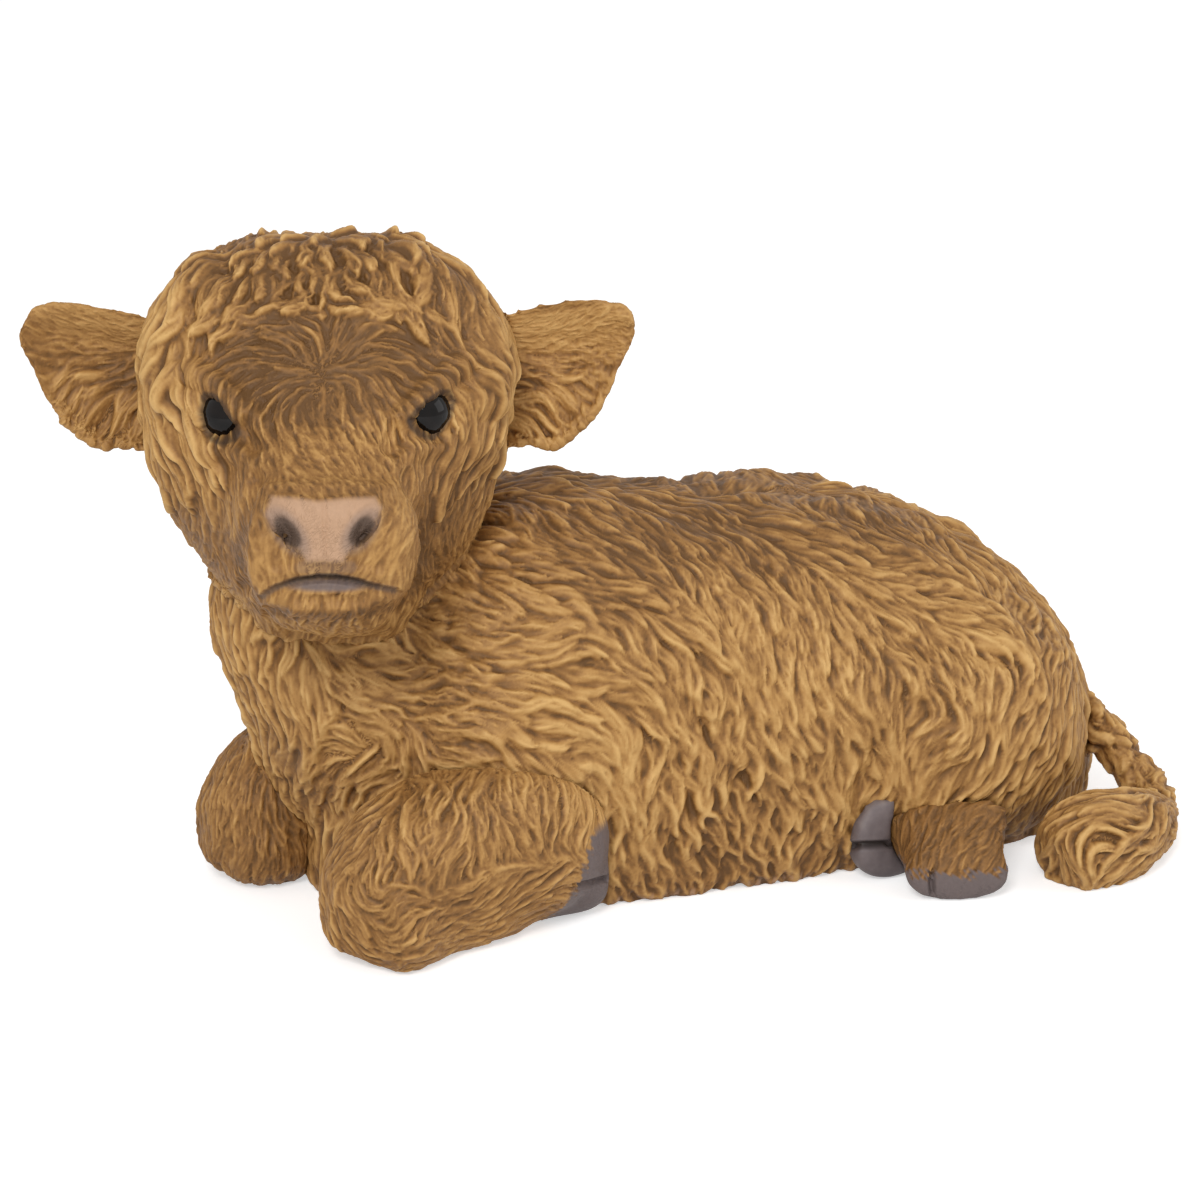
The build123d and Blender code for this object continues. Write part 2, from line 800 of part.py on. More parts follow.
# Head casting: a hollow shell with the nose and the brows, bonded over the neck stump
with BuildPart() as sockets:
    for side in (-1, 1):
        with BuildSketch(eye_plane(side).offset(-eye_socket_depth)):
            Circle(eye_diameter / 2 + bond_gap)
        extrude(amount=eye_socket_depth + head_width / 2)
        add(ear_peg(side, ear_peg_diameter + 2 * bond_gap))
with BuildPart() as head_casting:
    add(head_outer)
    add(free_locks(head_locks(head_outer.part), on_head))
    add([brow(head_outer.part, side) for side in (-1, 1)])
    add(nose)
    add(face_cuts, mode=Mode.SUBTRACT)
    add(head_cavity, mode=Mode.SUBTRACT)
    add(body_outer, mode=Mode.SUBTRACT)
    add(neck_seat, mode=Mode.SUBTRACT)
    add(sockets, mode=Mode.SUBTRACT)
head_casting.part.label = "head_casting"
export_step(head_casting.part, "parts/head_casting.step")

# Base plate inside the open underside, flush with the rim, with a stepped vent hole
with BuildPart() as base_plate:
    with Locations((0, 0, plate_thickness / 2)):
        Box(body_length, body_width, plate_thickness)
    loft(sections=trunk_sections(body_wall + bond_gap), mode=Mode.INTERSECT)
    with BuildSketch(Plane.XY.offset(-overrun)):
        with Locations((vent_place_share * half_length, 0)):
            Circle(vent_diameter / 2)
    extrude(amount=plate_thickness + 2 * overrun, mode=Mode.SUBTRACT)
    with BuildSketch(Plane.XY):
        with Locations((vent_place_share * half_length, 0)):
            Circle(vent_flange / 2)
    extrude(amount=vent_flange_thickness, mode=Mode.SUBTRACT)
base_plate.part.label = "base_plate"
export_step(base_plate.part, "parts/base_plate.step")

# Rubber plug in the vent hole
with BuildPart() as vent_plug:
    with BuildSketch(Plane.XY):
        with Locations((vent_place_share * half_length, 0)):
            Circle(vent_flange / 2 - bond_gap)
    extrude(amount=vent_flange_thickness)
    with BuildSketch(Plane.XY.offset(vent_flange_thickness)):
        with Locations((vent_place_share * half_length, 0)):
            Circle(vent_diameter / 2 - bond_gap)
    extrude(amount=plug_length - vent_flange_thickness)
vent_plug.part.label = "vent_plug"
export_step(vent_plug.part, "parts/vent_plug.step")
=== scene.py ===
from math import pi, radians

import bmesh
import bpy
import numpy as np
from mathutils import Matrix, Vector
from mathutils.bvhtree import BVHTree
from mathutils.kdtree import KDTree


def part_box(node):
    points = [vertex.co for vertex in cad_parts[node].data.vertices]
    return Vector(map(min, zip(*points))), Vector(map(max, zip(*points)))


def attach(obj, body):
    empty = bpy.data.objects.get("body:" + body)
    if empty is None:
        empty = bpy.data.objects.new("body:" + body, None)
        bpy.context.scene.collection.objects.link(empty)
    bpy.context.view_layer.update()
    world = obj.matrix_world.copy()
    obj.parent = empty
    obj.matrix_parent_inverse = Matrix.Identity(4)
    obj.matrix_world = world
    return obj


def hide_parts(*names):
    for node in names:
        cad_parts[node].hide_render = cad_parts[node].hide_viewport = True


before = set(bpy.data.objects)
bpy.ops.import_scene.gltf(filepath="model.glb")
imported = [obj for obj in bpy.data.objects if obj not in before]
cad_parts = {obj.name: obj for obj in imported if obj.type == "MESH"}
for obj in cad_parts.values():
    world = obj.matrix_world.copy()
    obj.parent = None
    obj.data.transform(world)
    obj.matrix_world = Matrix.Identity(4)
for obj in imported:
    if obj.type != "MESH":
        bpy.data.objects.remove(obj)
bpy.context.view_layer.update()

# A lying calf of painted resin. Lengths are in millimetres until a mesh is handed over.
MM = 0.001
TINY = 1e-9
SEED = 7
rng = np.random.default_rng(SEED)


def unit(v):
    """Vectors brought to length 1."""
    return v / np.maximum(np.linalg.norm(v, axis=-1, keepdims=True), TINY)


# Camera, and the photograph's frame in pixels
FRAME_SIDE = 1200
FOCAL = 4018.0
SENSOR = 36.0
camera_place = np.array((-573.0, -1215.8, 494.3))
camera_aim = np.array((-28.4, 7.3, 85.0))
look = unit(camera_aim - camera_place)
rightward = unit(np.cross(look, (0.0, 0.0, 1.0)))
upward = np.cross(rightward, look)

camera_data = bpy.data.cameras.new("camera")
camera_data.sensor_width = SENSOR
camera_data.lens = FOCAL / FRAME_SIDE * SENSOR
camera_data.clip_start = 0.05
camera_data.clip_end = 20.0
camera = bpy.data.objects.new("camera", camera_data)
bpy.context.scene.collection.objects.link(camera)
camera.location = Vector(camera_place * MM)
camera.rotation_mode = "QUATERNION"
camera.rotation_quaternion = Vector(look).to_track_quat("-Z", "Y")
bpy.context.scene.camera = camera


def project(points):
    """Pixels of points in the photograph's frame."""
    q = points - camera_place
    depth = q @ look
    x = FRAME_SIDE / 2 + FOCAL * (q @ rightward) / depth
    y = FRAME_SIDE / 2 - FOCAL * (q @ upward) / depth
    return np.stack((x, y), -1)


def sight(x, y):
    """Direction from the camera through a pixel."""
    half = FRAME_SIDE / 2
    return unit(look + rightward * ((x - half) / FOCAL) - upward * ((y - half) / FOCAL))


# Head axes
HEAD_CENTRE = np.array((-129.9, -0.9, 159.2))
FORWARD = np.array((-0.3665, -0.9304, 0.0))
LEFTWARD = np.array((0.9304, -0.3665, 0.0))
UP = np.array((0.0, 0.0, 1.0))


def head_place(across, above, ahead):
    return HEAD_CENTRE + LEFTWARD * across + UP * above + FORWARD * ahead


# Mesh tools

def arrays(mesh):
    """Places in millimetres and normals of the vertices."""
    co = np.empty(len(mesh.vertices) * 3, np.float32)
    mesh.vertices.foreach_get("co", co)
    no = np.empty(len(mesh.vertices) * 3, np.float32)
    mesh.vertex_normals.foreach_get("vector", no)
    return co.reshape(-1, 3).astype(np.float64) / MM, no.reshape(-1, 3).astype(np.float64)


def edge_array(mesh):
    pairs = np.empty(len(mesh.edges) * 2, np.int32)
    mesh.edges.foreach_get("vertices", pairs)
    return pairs.reshape(-1, 2)


def put(mesh, co):
    """Moves the vertices to places in millimetres."""
    mesh.vertices.foreach_set("co", (co * MM).astype(np.float32).ravel())
    mesh.update()


def relax(values, edges, times, factor):
    """Each value moved towards its neighbours' mean, some times over."""
    count = len(values)
    a, b = edges[:, 0], edges[:, 1]
    near = np.bincount(a, minlength=count) + np.bincount(b, minlength=count)
    near = np.maximum(near, 1)
    out = values.astype(np.float64).copy()
    columns = [out] if out.ndim == 1 else [out[:, k] for k in range(out.shape[1])]
    for _ in range(times):
        for column in columns:
            total = np.bincount(a, column[b], count) + np.bincount(b, column[a], count)
            column += factor * (total / near - column)
    return out


def evaluated(obj):
    depsgraph = bpy.context.evaluated_depsgraph_get()
    return bpy.data.meshes.new_from_object(obj.evaluated_get(depsgraph))


def to_mesh(bm, name):
    mesh = bpy.data.meshes.new(name)
    bm.to_mesh(mesh)
    bm.free()
    return mesh


# In metres: a ray's start off its face, its reach, and how far a hollow's faces lie apart
OFF_THE_FACE = 1e-4
RAY_LENGTH = 0.4
HOLLOW_GAP = 0.03
FEWEST_POINTS = 200


def fill_hollow(bm):
    """Fills a casting's hollow with the hull of its inner faces."""
    bmesh.ops.remove_doubles(bm, verts=bm.verts, dist=1e-6)
    bm.normal_update()
    tree = BVHTree.FromBMesh(bm)
    inner = bmesh.new()
    for face in bm.faces:
        start = face.calc_center_median() + face.normal * OFF_THE_FACE
        hit = tree.ray_cast(start, face.normal, RAY_LENGTH)
        if hit[0] is not None and hit[3] > HOLLOW_GAP:
            for vert in face.verts:
                inner.verts.new(vert.co)
    if len(inner.verts) > FEWEST_POINTS:
        bmesh.ops.convex_hull(inner, input=inner.verts)
        loose = [v for v in inner.verts if not v.link_faces]
        bmesh.ops.delete(inner, geom=loose, context="VERTS")
        filler = to_mesh(inner, "filler")
        bm.from_mesh(filler)
        bpy.data.meshes.remove(filler)
    else:
        inner.free()


def skin(name, nodes, cell, smooth, filled=False):
    """Even mesh over the outside of the nodes, with cells in millimetres."""
    bm = bmesh.new()
    for node_name in nodes:
        bm.from_mesh(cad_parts[node_name].data)
    if filled:
        fill_hollow(bm)
    obj = bpy.data.objects.new(name, to_mesh(bm, "solid"))
    bpy.context.scene.collection.objects.link(obj)
    remesh = obj.modifiers.new("even", "REMESH")
    remesh.mode = "VOXEL"
    remesh.voxel_size = cell * MM
    obj.data = evaluated(obj)
    obj.modifiers.clear()
    co, _ = arrays(obj.data)
    put(obj.data, relax(co, edge_array(obj.data), smooth, 0.6))
    return obj


DIVISIONS = 2


def map_and_divide(obj):
    """UV map on the coarse mesh, then finer quads."""
    bpy.context.view_layer.objects.active = obj
    obj.select_set(True)
    bpy.ops.object.mode_set(mode="EDIT")
    bpy.ops.mesh.select_all(action="SELECT")
    bpy.ops.uv.smart_project(angle_limit=1.15, island_margin=0.002)
    bpy.ops.object.mode_set(mode="OBJECT")
    obj.select_set(False)
    obj.data.uv_layers[0].name = "OFBake"
    divide = obj.modifiers.new("divide", "SUBSURF")
    divide.levels = divide.render_levels = DIVISIONS
    obj.data = evaluated(obj)
    obj.modifiers.clear()
    obj.data.polygons.foreach_set("use_smooth", np.ones(len(obj.data.polygons), bool))


def attribute(mesh, name, values):
    """One number for each vertex, for the materials."""
    layer = mesh.attributes.get(name) or mesh.attributes.new(name, "FLOAT", "POINT")
    layer.data.foreach_set("value", values.astype(np.float32))


def as_tree(obj):
    """The object's surface in millimetres, to cast rays on."""
    bm = bmesh.new()
    bm.from_mesh(obj.data)
    bmesh.ops.scale(bm, vec=(1 / MM,) * 3, verts=bm.verts)
    tree = BVHTree.FromBMesh(bm)
    bm.free()
    return tree


# Kinds of hair: a tuft's length, half width, relief, wave in degrees and wave length, then its
# strands' length, half width and relief
LENGTH, WIDTH, RELIEF, WAVE, WAVE_LENGTH = range(5)
TUFT = slice(0, 5)
STRAND = slice(5, 8)
KINDS = {
    "leaf": (21.0, 3.0, 1.9, 9.0, 26.0, 14.0, 0.95, 0.75),
    "wavy": (27.0, 2.6, 2.3, 26.0, 20.0, 15.0, 0.95, 0.9),
    "strand": (17.0, 1.7, 1.3, 14.0, 16.0, 13.0, 0.75, 0.65),
    "fine": (9.0, 1.2, 0.35, 8.0, 10.0, 7.0, 0.6, 0.35),
    "fur": (12.0, 1.8, 0.8, 10.0, 14.0, 10.0, 0.7, 0.55),
    "whorl": (17.0, 1.5, 1.0, 7.0, 18.0, 14.0, 0.7, 0.75),
    "curl": (17.0, 3.0, 3.6, 38.0, 17.0, 12.0, 0.9, 0.8),
    "fringe": (34.0, 3.2, 3.8, 10.0, 30.0, 18.0, 0.9, 0.8),
    "beard": (23.0, 2.2, 2.3, 14.0, 20.0, 14.0, 0.85, 0.8),
    "sweep": (36.0, 2.3, 2.8, 15.0, 32.0, 20.0, 0.8, 0.9),
}

# Guides: kind of hair, then pixels in the photograph's frame with the direction of the hair there
# in degrees clockwise from the right
BODY_GUIDES = (
    ("leaf", (585, 485, 20), (654, 508, 22), (722, 499, 20), (790, 495, 35), (831, 540, 42),
     (858, 508, 50), (926, 531, 35), (972, 563, 38), (1017, 599, 50), (1049, 645, 68),
     (545, 520, 30), (585, 576, 38), (654, 590, 45), (713, 599, 52), (767, 622, 66),
     (795, 658, 70), (831, 622, 58), (858, 667, 64), (904, 590, 18), (940, 604, 22),
     (995, 645, 38), (949, 690, 60), (995, 713, 92), (949, 740, 120), (1040, 720, 95)),
    ("wavy", (676, 722, 70), (690, 758, 82), (654, 804, 88), (722, 804, 78), (767, 758, 60)),
    ("leaf", (813, 735, 55)), ("wavy", (813, 804, 76)), ("leaf", (858, 767, 60)),
    ("wavy", (790, 849, 70), (676, 849, 78), (640, 860, 88), (735, 860, 76)),
    ("leaf", (558, 658, 12), (583, 740, 5), (517, 723, 28), (550, 730, 20), (600, 800, 70),
     (500, 600, 40), (520, 650, 25), (470, 690, 15), (460, 740, 10), (560, 700, 20),
     (620, 640, 60)),
    ("strand", (430, 700, 5), (370, 705, 5)),
    ("beard", (300, 720, 70), (260, 720, 75), (285, 760, 85), (330, 790, 95), (250, 690, 80),
     (380, 770, 150)),
    ("strand", (345, 740, 200), (370, 725, 0), (400, 745, 75)),
)
HEAD_GUIDES = (
    ("whorl", (310, 378, 185), (263, 361, 188), (235, 345, 160)), ("fringe", (202, 343, 118)),
    ("whorl", (320, 343, 268), (299, 330, 225), (275, 325, 205), (250, 320, 170), (345, 345, 305),
     (365, 330, 330), (390, 325, 0), (406, 335, 22)),
    ("fringe", (441, 343, 52), (459, 361, 62)),
    ("whorl", (335, 375, 350), (365, 362, 345), (395, 355, 12), (420, 372, 50), (325, 396, 90),
     (281, 396, 135), (245, 392, 125), (227, 395, 105), (262, 380, 165), (370, 390, 50),
     (399, 392, 45), (413, 405, 60), (345, 395, 70)),
    ("fur", (325, 432, 90), (281, 432, 98), (370, 432, 82)),
    ("fine", (325, 468, 90), (290, 480, 95), (360, 480, 85), (250, 470, 95), (400, 470, 85),
     (227, 468, 92), (209, 521, 88), (424, 468, 82), (459, 504, 95)),
    ("fur", (441, 557, 100), (431, 593, 110), (334, 611, 90), (300, 611, 92), (365, 611, 88)),
    ("fine", (262, 530, 92), (402, 530, 88), (275, 575, 90), (385, 572, 90), (325, 488, 90),
     (250, 570, 85), (405, 570, 92)),
    ("fur", (480, 470, 95), (490, 440, 92), (180, 470, 85), (190, 530, 85), (200, 500, 88),
     (470, 520, 96), (195, 555, 84), (455, 560, 102)),
    ("fringe", (191, 289, 122), (166, 325, 112), (156, 361, 98), (156, 396, 78), (175, 400, 80),
     (191, 343, 102), (184, 379, 92), (220, 264, 135), (388, 254, 35), (441, 271, 45),
     (477, 307, 60), (495, 343, 80), (500, 379, 97), (481, 405, 125), (424, 307, 48),
     (452, 330, 60), (477, 371, 76)),
    ("curl", (245, 290, 120), (245, 250, 115), (290, 245, 100), (325, 240, 90), (360, 250, 75),
     (280, 280, 105), (325, 285, 90), (370, 290, 60), (400, 275, 45), (345, 262, 85)),
)
LEG_GUIDES = (
    ("strand", (433, 780, 100), (480, 790, 92), (530, 790, 84), (567, 810, 80), (450, 830, 95),
     (500, 840, 88), (540, 840, 95), (400, 800, 120), (370, 820, 130), (345, 850, 118),
     (330, 885, 95), (420, 860, 105), (385, 860, 115), (335, 910, 72), (360, 930, 50)),
    ("fur", (350, 950, 40)),
    ("strand", (400, 905, 330), (410, 925, 325), (450, 905, 315), (490, 890, 322),
     (520, 890, 330), (550, 880, 335)),
    ("fur", (470, 930, 335), (430, 955, 345), (520, 925, 338), (575, 900, 345), (390, 965, 350)),
    ("strand", (450, 870, 110)),
)
FAR_LEG_GUIDES = (
    ("fur", (240, 760, 115), (225, 800, 105), (215, 850, 88), (250, 800, 95), (270, 840, 85),
     (300, 850, 80), (250, 870, 75), (205, 820, 100), (290, 800, 90)),
)
HIND_LEG_GUIDES = (
    ("fur", (940, 800, 125), (960, 830, 115), (1000, 820, 105), (930, 850, 110), (975, 860, 105),
     (915, 870, 110)),
)
TAIL_GUIDES = (
    ("curl", (1080, 715, 45), (1110, 745, 48), (1140, 770, 50)), ("strand", (1168, 795, 85)),
    ("sweep", (1172, 820, 130), (1150, 835, 165), (1120, 820, 185), (1090, 830, 160),
     (1065, 850, 115), (1110, 845, 160), (1085, 865, 110), (1130, 860, 150)),
)
EAR_GUIDES = (
    ("fine", (560, 330, 348), (600, 318, 345), (530, 335, 350), (625, 315, 345)),
    ("beard", (525, 385, 5), (545, 400, 25), (520, 425, 45)), ("fur", (575, 390, 10)),
    ("fine", (610, 360, 350), (625, 345, 350)),
)
FAR_EAR_GUIDES = (
    ("fine", (100, 330, 190), (60, 312, 195), (130, 335, 185)),
    ("beard", (130, 385, 170), (110, 400, 150), (130, 420, 130)),
    ("fur", (80, 385, 165), (85, 420, 150)),
    ("fine", (50, 350, 190), (32, 330, 190), (60, 395, 165)),
)

# Reach of a sight line, pixels along which a guide's direction is read, and the least facing
SIGHT_RANGE = 4000
GUIDE_STEP = 4
GLANCING = -0.12


def pixel_guides(tree, rows):
    """Places, directions and sizes of hair on a surface, from rows of guides."""
    places, directions, sizes = [], [], []
    for kind, x, y, angle in ((kind, *place) for kind, *run in rows for place in run):
        hit, normal, _, _ = tree.ray_cast(Vector(camera_place), Vector(sight(x, y)), SIGHT_RANGE)
        if hit is None:
            continue
        hit, normal = np.array(hit), np.array(normal)
        turned = radians(angle)
        ray = sight(x + GUIDE_STEP * np.cos(turned), y + GUIDE_STEP * np.sin(turned))
        reach = ((hit - camera_place) @ normal) / min(ray @ normal, GLANCING)
        places.append(hit)
        directions.append(unit(camera_place + ray * reach - hit))
        sizes.append(KINDS[kind])
    return places, directions, sizes


def both_sides(guides):
    places, directions, sizes = guides
    flip = np.array((1.0, -1.0, 1.0))
    mirrored = [p * flip for p in places], [d * flip for d in directions]
    return places + mirrored[0], directions + mirrored[1], sizes * 2


def and_more(guides, rows):
    """The guides and some that are given by place, direction and kind."""
    places, directions, sizes = guides
    for place, direction, kind in rows:
        places.append(np.array(place, float))
        directions.append(unit(np.array(direction, float)))
        sizes.append(KINDS[kind])
    return places, directions, sizes


# A guide's weight falls with this power of the squared distance, and is even within the core
GUIDE_POWER = 1.7
GUIDE_CORE = 9.0
CHUNK = 4000


def flow_field(co, no, guides):
    """Direction of the hair and its sizes at each vertex, from the guides nearby."""
    places, directions, sizes = (np.array(column) for column in guides)
    flow = np.empty_like(co)
    size = np.empty((len(co), sizes.shape[1]))
    for start in range(0, len(co), CHUNK):
        part = slice(start, start + CHUNK)
        gap = ((co[part, None, :] - places[None]) ** 2).sum(-1)
        weight = 1 / (gap + GUIDE_CORE) ** GUIDE_POWER
        total = weight.sum(1, keepdims=True)
        flow[part] = weight @ directions
        size[part] = weight @ sizes / total
    flow -= no * (flow * no).sum(1, keepdims=True)
    return unit(flow), size


AROUND = [(dx, dy, dz) for dx in (-1, 0, 1) for dy in (-1, 0, 1) for dz in (-1, 0, 1)]


def crowded(p, grid, key, reach):
    for dx, dy, dz in AROUND:
        for q in grid.get((key[0] + dx, key[1] + dy, key[2] + dz), ()):
            if (p[0] - q[0]) ** 2 + (p[1] - q[1]) ** 2 + (p[2] - q[2]) ** 2 < reach:
                return True
    return False


def scatter(co, spacing):
    """Indices of vertices that keep their spacing from each other."""
    cell = float(spacing.max())
    grid = {}
    kept = []
    for i in rng.permutation(len(co)):
        p = co[i]
        key = (int(p[0] // cell), int(p[1] // cell), int(p[2] // cell))
        if not crowded(p, grid, key, spacing[i] ** 2):
            grid.setdefault(key, []).append(p)
            kept.append(i)
    return np.array(kept)


# Distance between a lock's samples, its bend in degrees, and where along it the bend is none
STEP = 1.2
SHEAR = 14.0
BEND_START = 0.3
# Lowest and highest share of what the guides say
LENGTH_SPREAD = (0.7, 1.3)
WAVE_SPREAD = (0.5, 1.4)
WAVE_LENGTH_SPREAD = (0.8, 1.25)
RELIEF_SPREAD = (0.55, 1.25)
WIDTH_SPREAD = (0.6, 1.4)


def grow(co, no, flow, size, roots, tree, shear):
    """Locks traced over the surface along the flow: samples with their frames and sizes.

    size holds length, half width, relief, wave and wave length at each vertex."""
    count = len(roots)
    length = size[roots, LENGTH] * rng.uniform(*LENGTH_SPREAD, count)
    steps = np.ceil(length / STEP).astype(int)
    wave = np.radians(size[roots, WAVE]) * rng.uniform(*WAVE_SPREAD, count)
    wave_length = size[roots, WAVE_LENGTH] * rng.uniform(*WAVE_LENGTH_SPREAD, count)
    phase = rng.uniform(0, 2 * pi, count)
    lean = np.radians(rng.normal(0, shear / 2, count))
    bend = np.radians(rng.normal(0, shear, count))
    relief = size[roots, RELIEF] * rng.uniform(*RELIEF_SPREAD, count)
    width = size[roots, WIDTH] * rng.uniform(*WIDTH_SPREAD, count)
    seed = rng.uniform(0, 1, count)
    position = co[roots].copy()
    nearest = roots.copy()
    samples = []
    for k in range(int(steps.max()) + 1):
        alive = np.nonzero(k <= steps)[0]
        at = nearest[alive]
        along = k * STEP
        u = along / length[alive]
        angle = lean[alive] + bend[alive] * (u - BEND_START)
        angle += wave[alive] * np.sin(2 * pi * along / wave_length[alive] + phase[alive])
        normal = no[at]
        t = flow[at]
        t = t * np.cos(angle)[:, None] + np.cross(normal, t) * np.sin(angle)[:, None]
        p = position[alive]
        p = p - normal * ((p - co[at]) * normal).sum(1, keepdims=True)
        samples.append({
            "place": p, "way": t, "normal": normal, "along": np.minimum(u, 1.0),
            "width": width[alive], "relief": relief[alive], "seed": seed[alive],
        })
        position[alive] = p + t * STEP
        nearest[alive] = [tree.find(q)[1] for q in position[alive]]
    return {key: np.concatenate([sample[key] for sample in samples]) for key in samples[0]}


def lock_width(u):
    """Share of a lock's width along it: narrow root, broad middle, pointed tip."""
    root_end, root_share, growth = 0.25, 0.55, 0.45
    tip_start, tip_length = 0.4, 0.6
    root = np.clip(u / root_end, 0, 1) ** 0.5 * growth + root_share
    tip = np.sqrt(np.clip(1 - (np.clip(u - tip_start, 0, 1) / tip_length) ** 2, 0, 1))
    return root * tip


def lock_height(u):
    """Share of a lock's relief along it: it rises from under the others to its tip."""
    start, growth, crest, power = 0.22, 0.78, 0.8, 0.9
    tip_drop, tip_start, tip_length = 0.25, 0.85, 0.15
    rise = start + growth * np.clip(u / crest, 0, 1) ** power
    return rise - tip_drop * np.clip((u - tip_start) / tip_length, 0, 1) ** 2


# Cells of the search grid, and the widest part of a lock that one point stands for
CELL = 1.8
ACROSS = 2.0
# A sample covers vertices this many steps along its lock whose normals agree with its own
ALONG = 0.65
AGREE = 0.2
OVERLAP = 0.02
# A lock's cross section: height of its edge, of its middle above that, and its shape
EDGE_SHARE = 0.2
MIDDLE_SHARE = 0.8
FLATNESS = 2.4
ROUNDNESS = 0.6


def dots(a, b):
    return np.einsum("ij,ij->i", a, b)


def count_up(counts):
    """0, 1, 2 and so on for each count in turn."""
    return np.arange(counts.sum()) - np.repeat(np.cumsum(counts) - counts, counts)


def cell_key(cells, span):
    return (cells[:, 0] * span[1] + cells[:, 1]) * span[2] + cells[:, 2]


def relief_of(co, no, locks):
    """Height of the locks at each vertex, with the direction and seed of the highest one there."""
    low = co.min(0) - 4 * CELL
    span = np.ceil((co.max(0) - low) / CELL).astype(np.int64) + 5
    key = cell_key(np.floor((co - low) / CELL).astype(np.int64), span)
    order = np.argsort(key, kind="stable")
    sorted_key = key[order]
    sorted_co = co[order].astype(np.float32)
    sorted_no = no[order].astype(np.float32)
    side_axis = np.cross(locks["normal"], locks["way"])
    half = locks["width"] * lock_width(locks["along"])
    lift = locks["relief"] * lock_height(locks["along"])

    # Points across each sample's width
    number = np.ceil(2 * half / ACROSS).astype(int).clip(1)
    parent = np.repeat(np.arange(len(half)), number)
    step = count_up(number)
    shift = ((step + 0.5) / number[parent] * 2 - 1) * half[parent]
    reach = half[parent] / number[parent]
    point = locks["place"][parent] + side_axis[parent] * shift[:, None]
    inside = ((point > low) & (point < low + (span - 2) * CELL)).all(1)
    parent, shift, reach, point = (v[inside] for v in (parent, shift, reach, point))
    cells = np.floor((point - low) / CELL).astype(np.int64)

    place, along, normal, across = (
        v.astype(np.float32) for v in (locks["place"], locks["way"], locks["normal"], side_axis)
    )
    top = np.zeros(len(co))
    found = []
    for dx in (-1, 0, 1):
        for dy in (-1, 0, 1):
            column = cell_key(cells + (dx, dy, 0), span)
            first = np.searchsorted(sorted_key, column - 1, "left")
            count = np.searchsorted(sorted_key, column + 1, "right") - first
            sub = np.repeat(np.arange(len(column)), count)
            if not len(sub):
                continue
            vert = np.repeat(first, count) + count_up(count)
            sample = parent[sub]
            gap = sorted_co[vert] - place[sample]
            near = np.abs(dots(gap, along[sample])) < ALONG * STEP
            sub, vert, sample, gap = (v[near] for v in (sub, vert, sample, gap))
            side = dots(gap, across[sample])
            near = np.abs(side - shift[sub]) < reach[sub] + OVERLAP
            vert, sample, side = (v[near] for v in (vert, sample, side))
            near = dots(sorted_no[vert], normal[sample]) > AGREE
            vert, sample, side = (v[near] for v in (vert, sample, side))
            w = side / np.maximum(half[sample], 0.05)
            section = np.clip(1 - np.abs(w) ** FLATNESS, 0, 1) ** ROUNDNESS
            height = lift[sample] * (EDGE_SHARE + MIDDLE_SHARE * section)
            height[np.abs(w) >= 1] = 0
            vert = order[vert]
            better = height > top[vert] + TINY
            vert, height, sample = (v[better] for v in (vert, height, sample))
            np.maximum.at(top, vert, height)
            found.append((vert, height, sample))
    vert, height, sample = (np.concatenate([f[k] for f in found]) for k in range(3))
    won = height >= top[vert] - 1e-12
    vert, sample = vert[won], sample[won]
    way = np.zeros((len(co), 3))
    seed = np.full(len(co), 0.5)
    way[vert] = locks["way"][sample]
    seed[vert] = locks["seed"][sample]
    return top, way, seed


def all_pairs(mesh):
    """Edges and the quads' diagonals."""
    corner = np.empty(len(mesh.loops), np.int32)
    mesh.loops.foreach_get("vertex_index", corner)
    quads = corner.reshape(-1, 4)
    return np.concatenate((edge_array(mesh), quads[:, (0, 2)], quads[:, (1, 3)]))


# How closely noise is smeared along the hair, and how often
SMEAR_POWER = 8
SMEARS = 7


def streaks(co, pairs, way):
    """Noise smeared along the hair, about -1 to 1: the finest strands."""
    a, b = pairs[:, 0], pairs[:, 1]
    d = unit(co[b] - co[a])
    from_b = np.abs(dots(d, way[a])) ** SMEAR_POWER
    from_a = np.abs(dots(d, way[b])) ** SMEAR_POWER
    count = len(co)
    total = 1 + np.bincount(a, from_b, count) + np.bincount(b, from_a, count)
    value = rng.normal(0, 1, count)
    for _ in range(SMEARS):
        near = np.bincount(a, from_b * value[b], count) + np.bincount(b, from_a * value[a], count)
        value = (value + near) / total
    return np.clip(value / value.std() / 2, -1, 1)


# Waves that turn the flow: number, radians per millimetre and height
SWIRLS = 6
SWIRL_PITCH = 0.10
SWIRL = 0.16
# Locks over each place on the surface, share of its box that a lock fills, and spacing
TUFT_DENSITY = 3.0
STRAND_DENSITY = 2.6
CLUMP_DENSITY = 2.4
FILL = 0.7
PACKING = 0.82
# A strand's wave, wave length and bend and a clump's sizes, as shares of a tuft's
STRAND_WAVE = 0.5
STRAND_WAVE_LENGTH = 0.7
STRAND_SHEAR = 0.5
CLUMP_SIZES = np.array((1.3, 2.3, 1.0, 0.6, 1.4))
# Height of the finest strands, depth at which the coat starts, and how crests and mounds show
FINE = 0.10
SINK = 1.3
RIDGE_GAIN = 0.85
MOUND_GAIN = 0.6


def swirled(flow, co, no):
    """The flow turned a little to and fro over the surface."""
    turn = sum(
        np.sin(co @ rng.normal(0, SWIRL_PITCH, 3) + rng.uniform(0, 2 * pi)) for _ in range(SWIRLS)
    ) * SWIRL
    return flow * np.cos(turn)[:, None] + np.cross(no, flow) * np.sin(turn)[:, None]


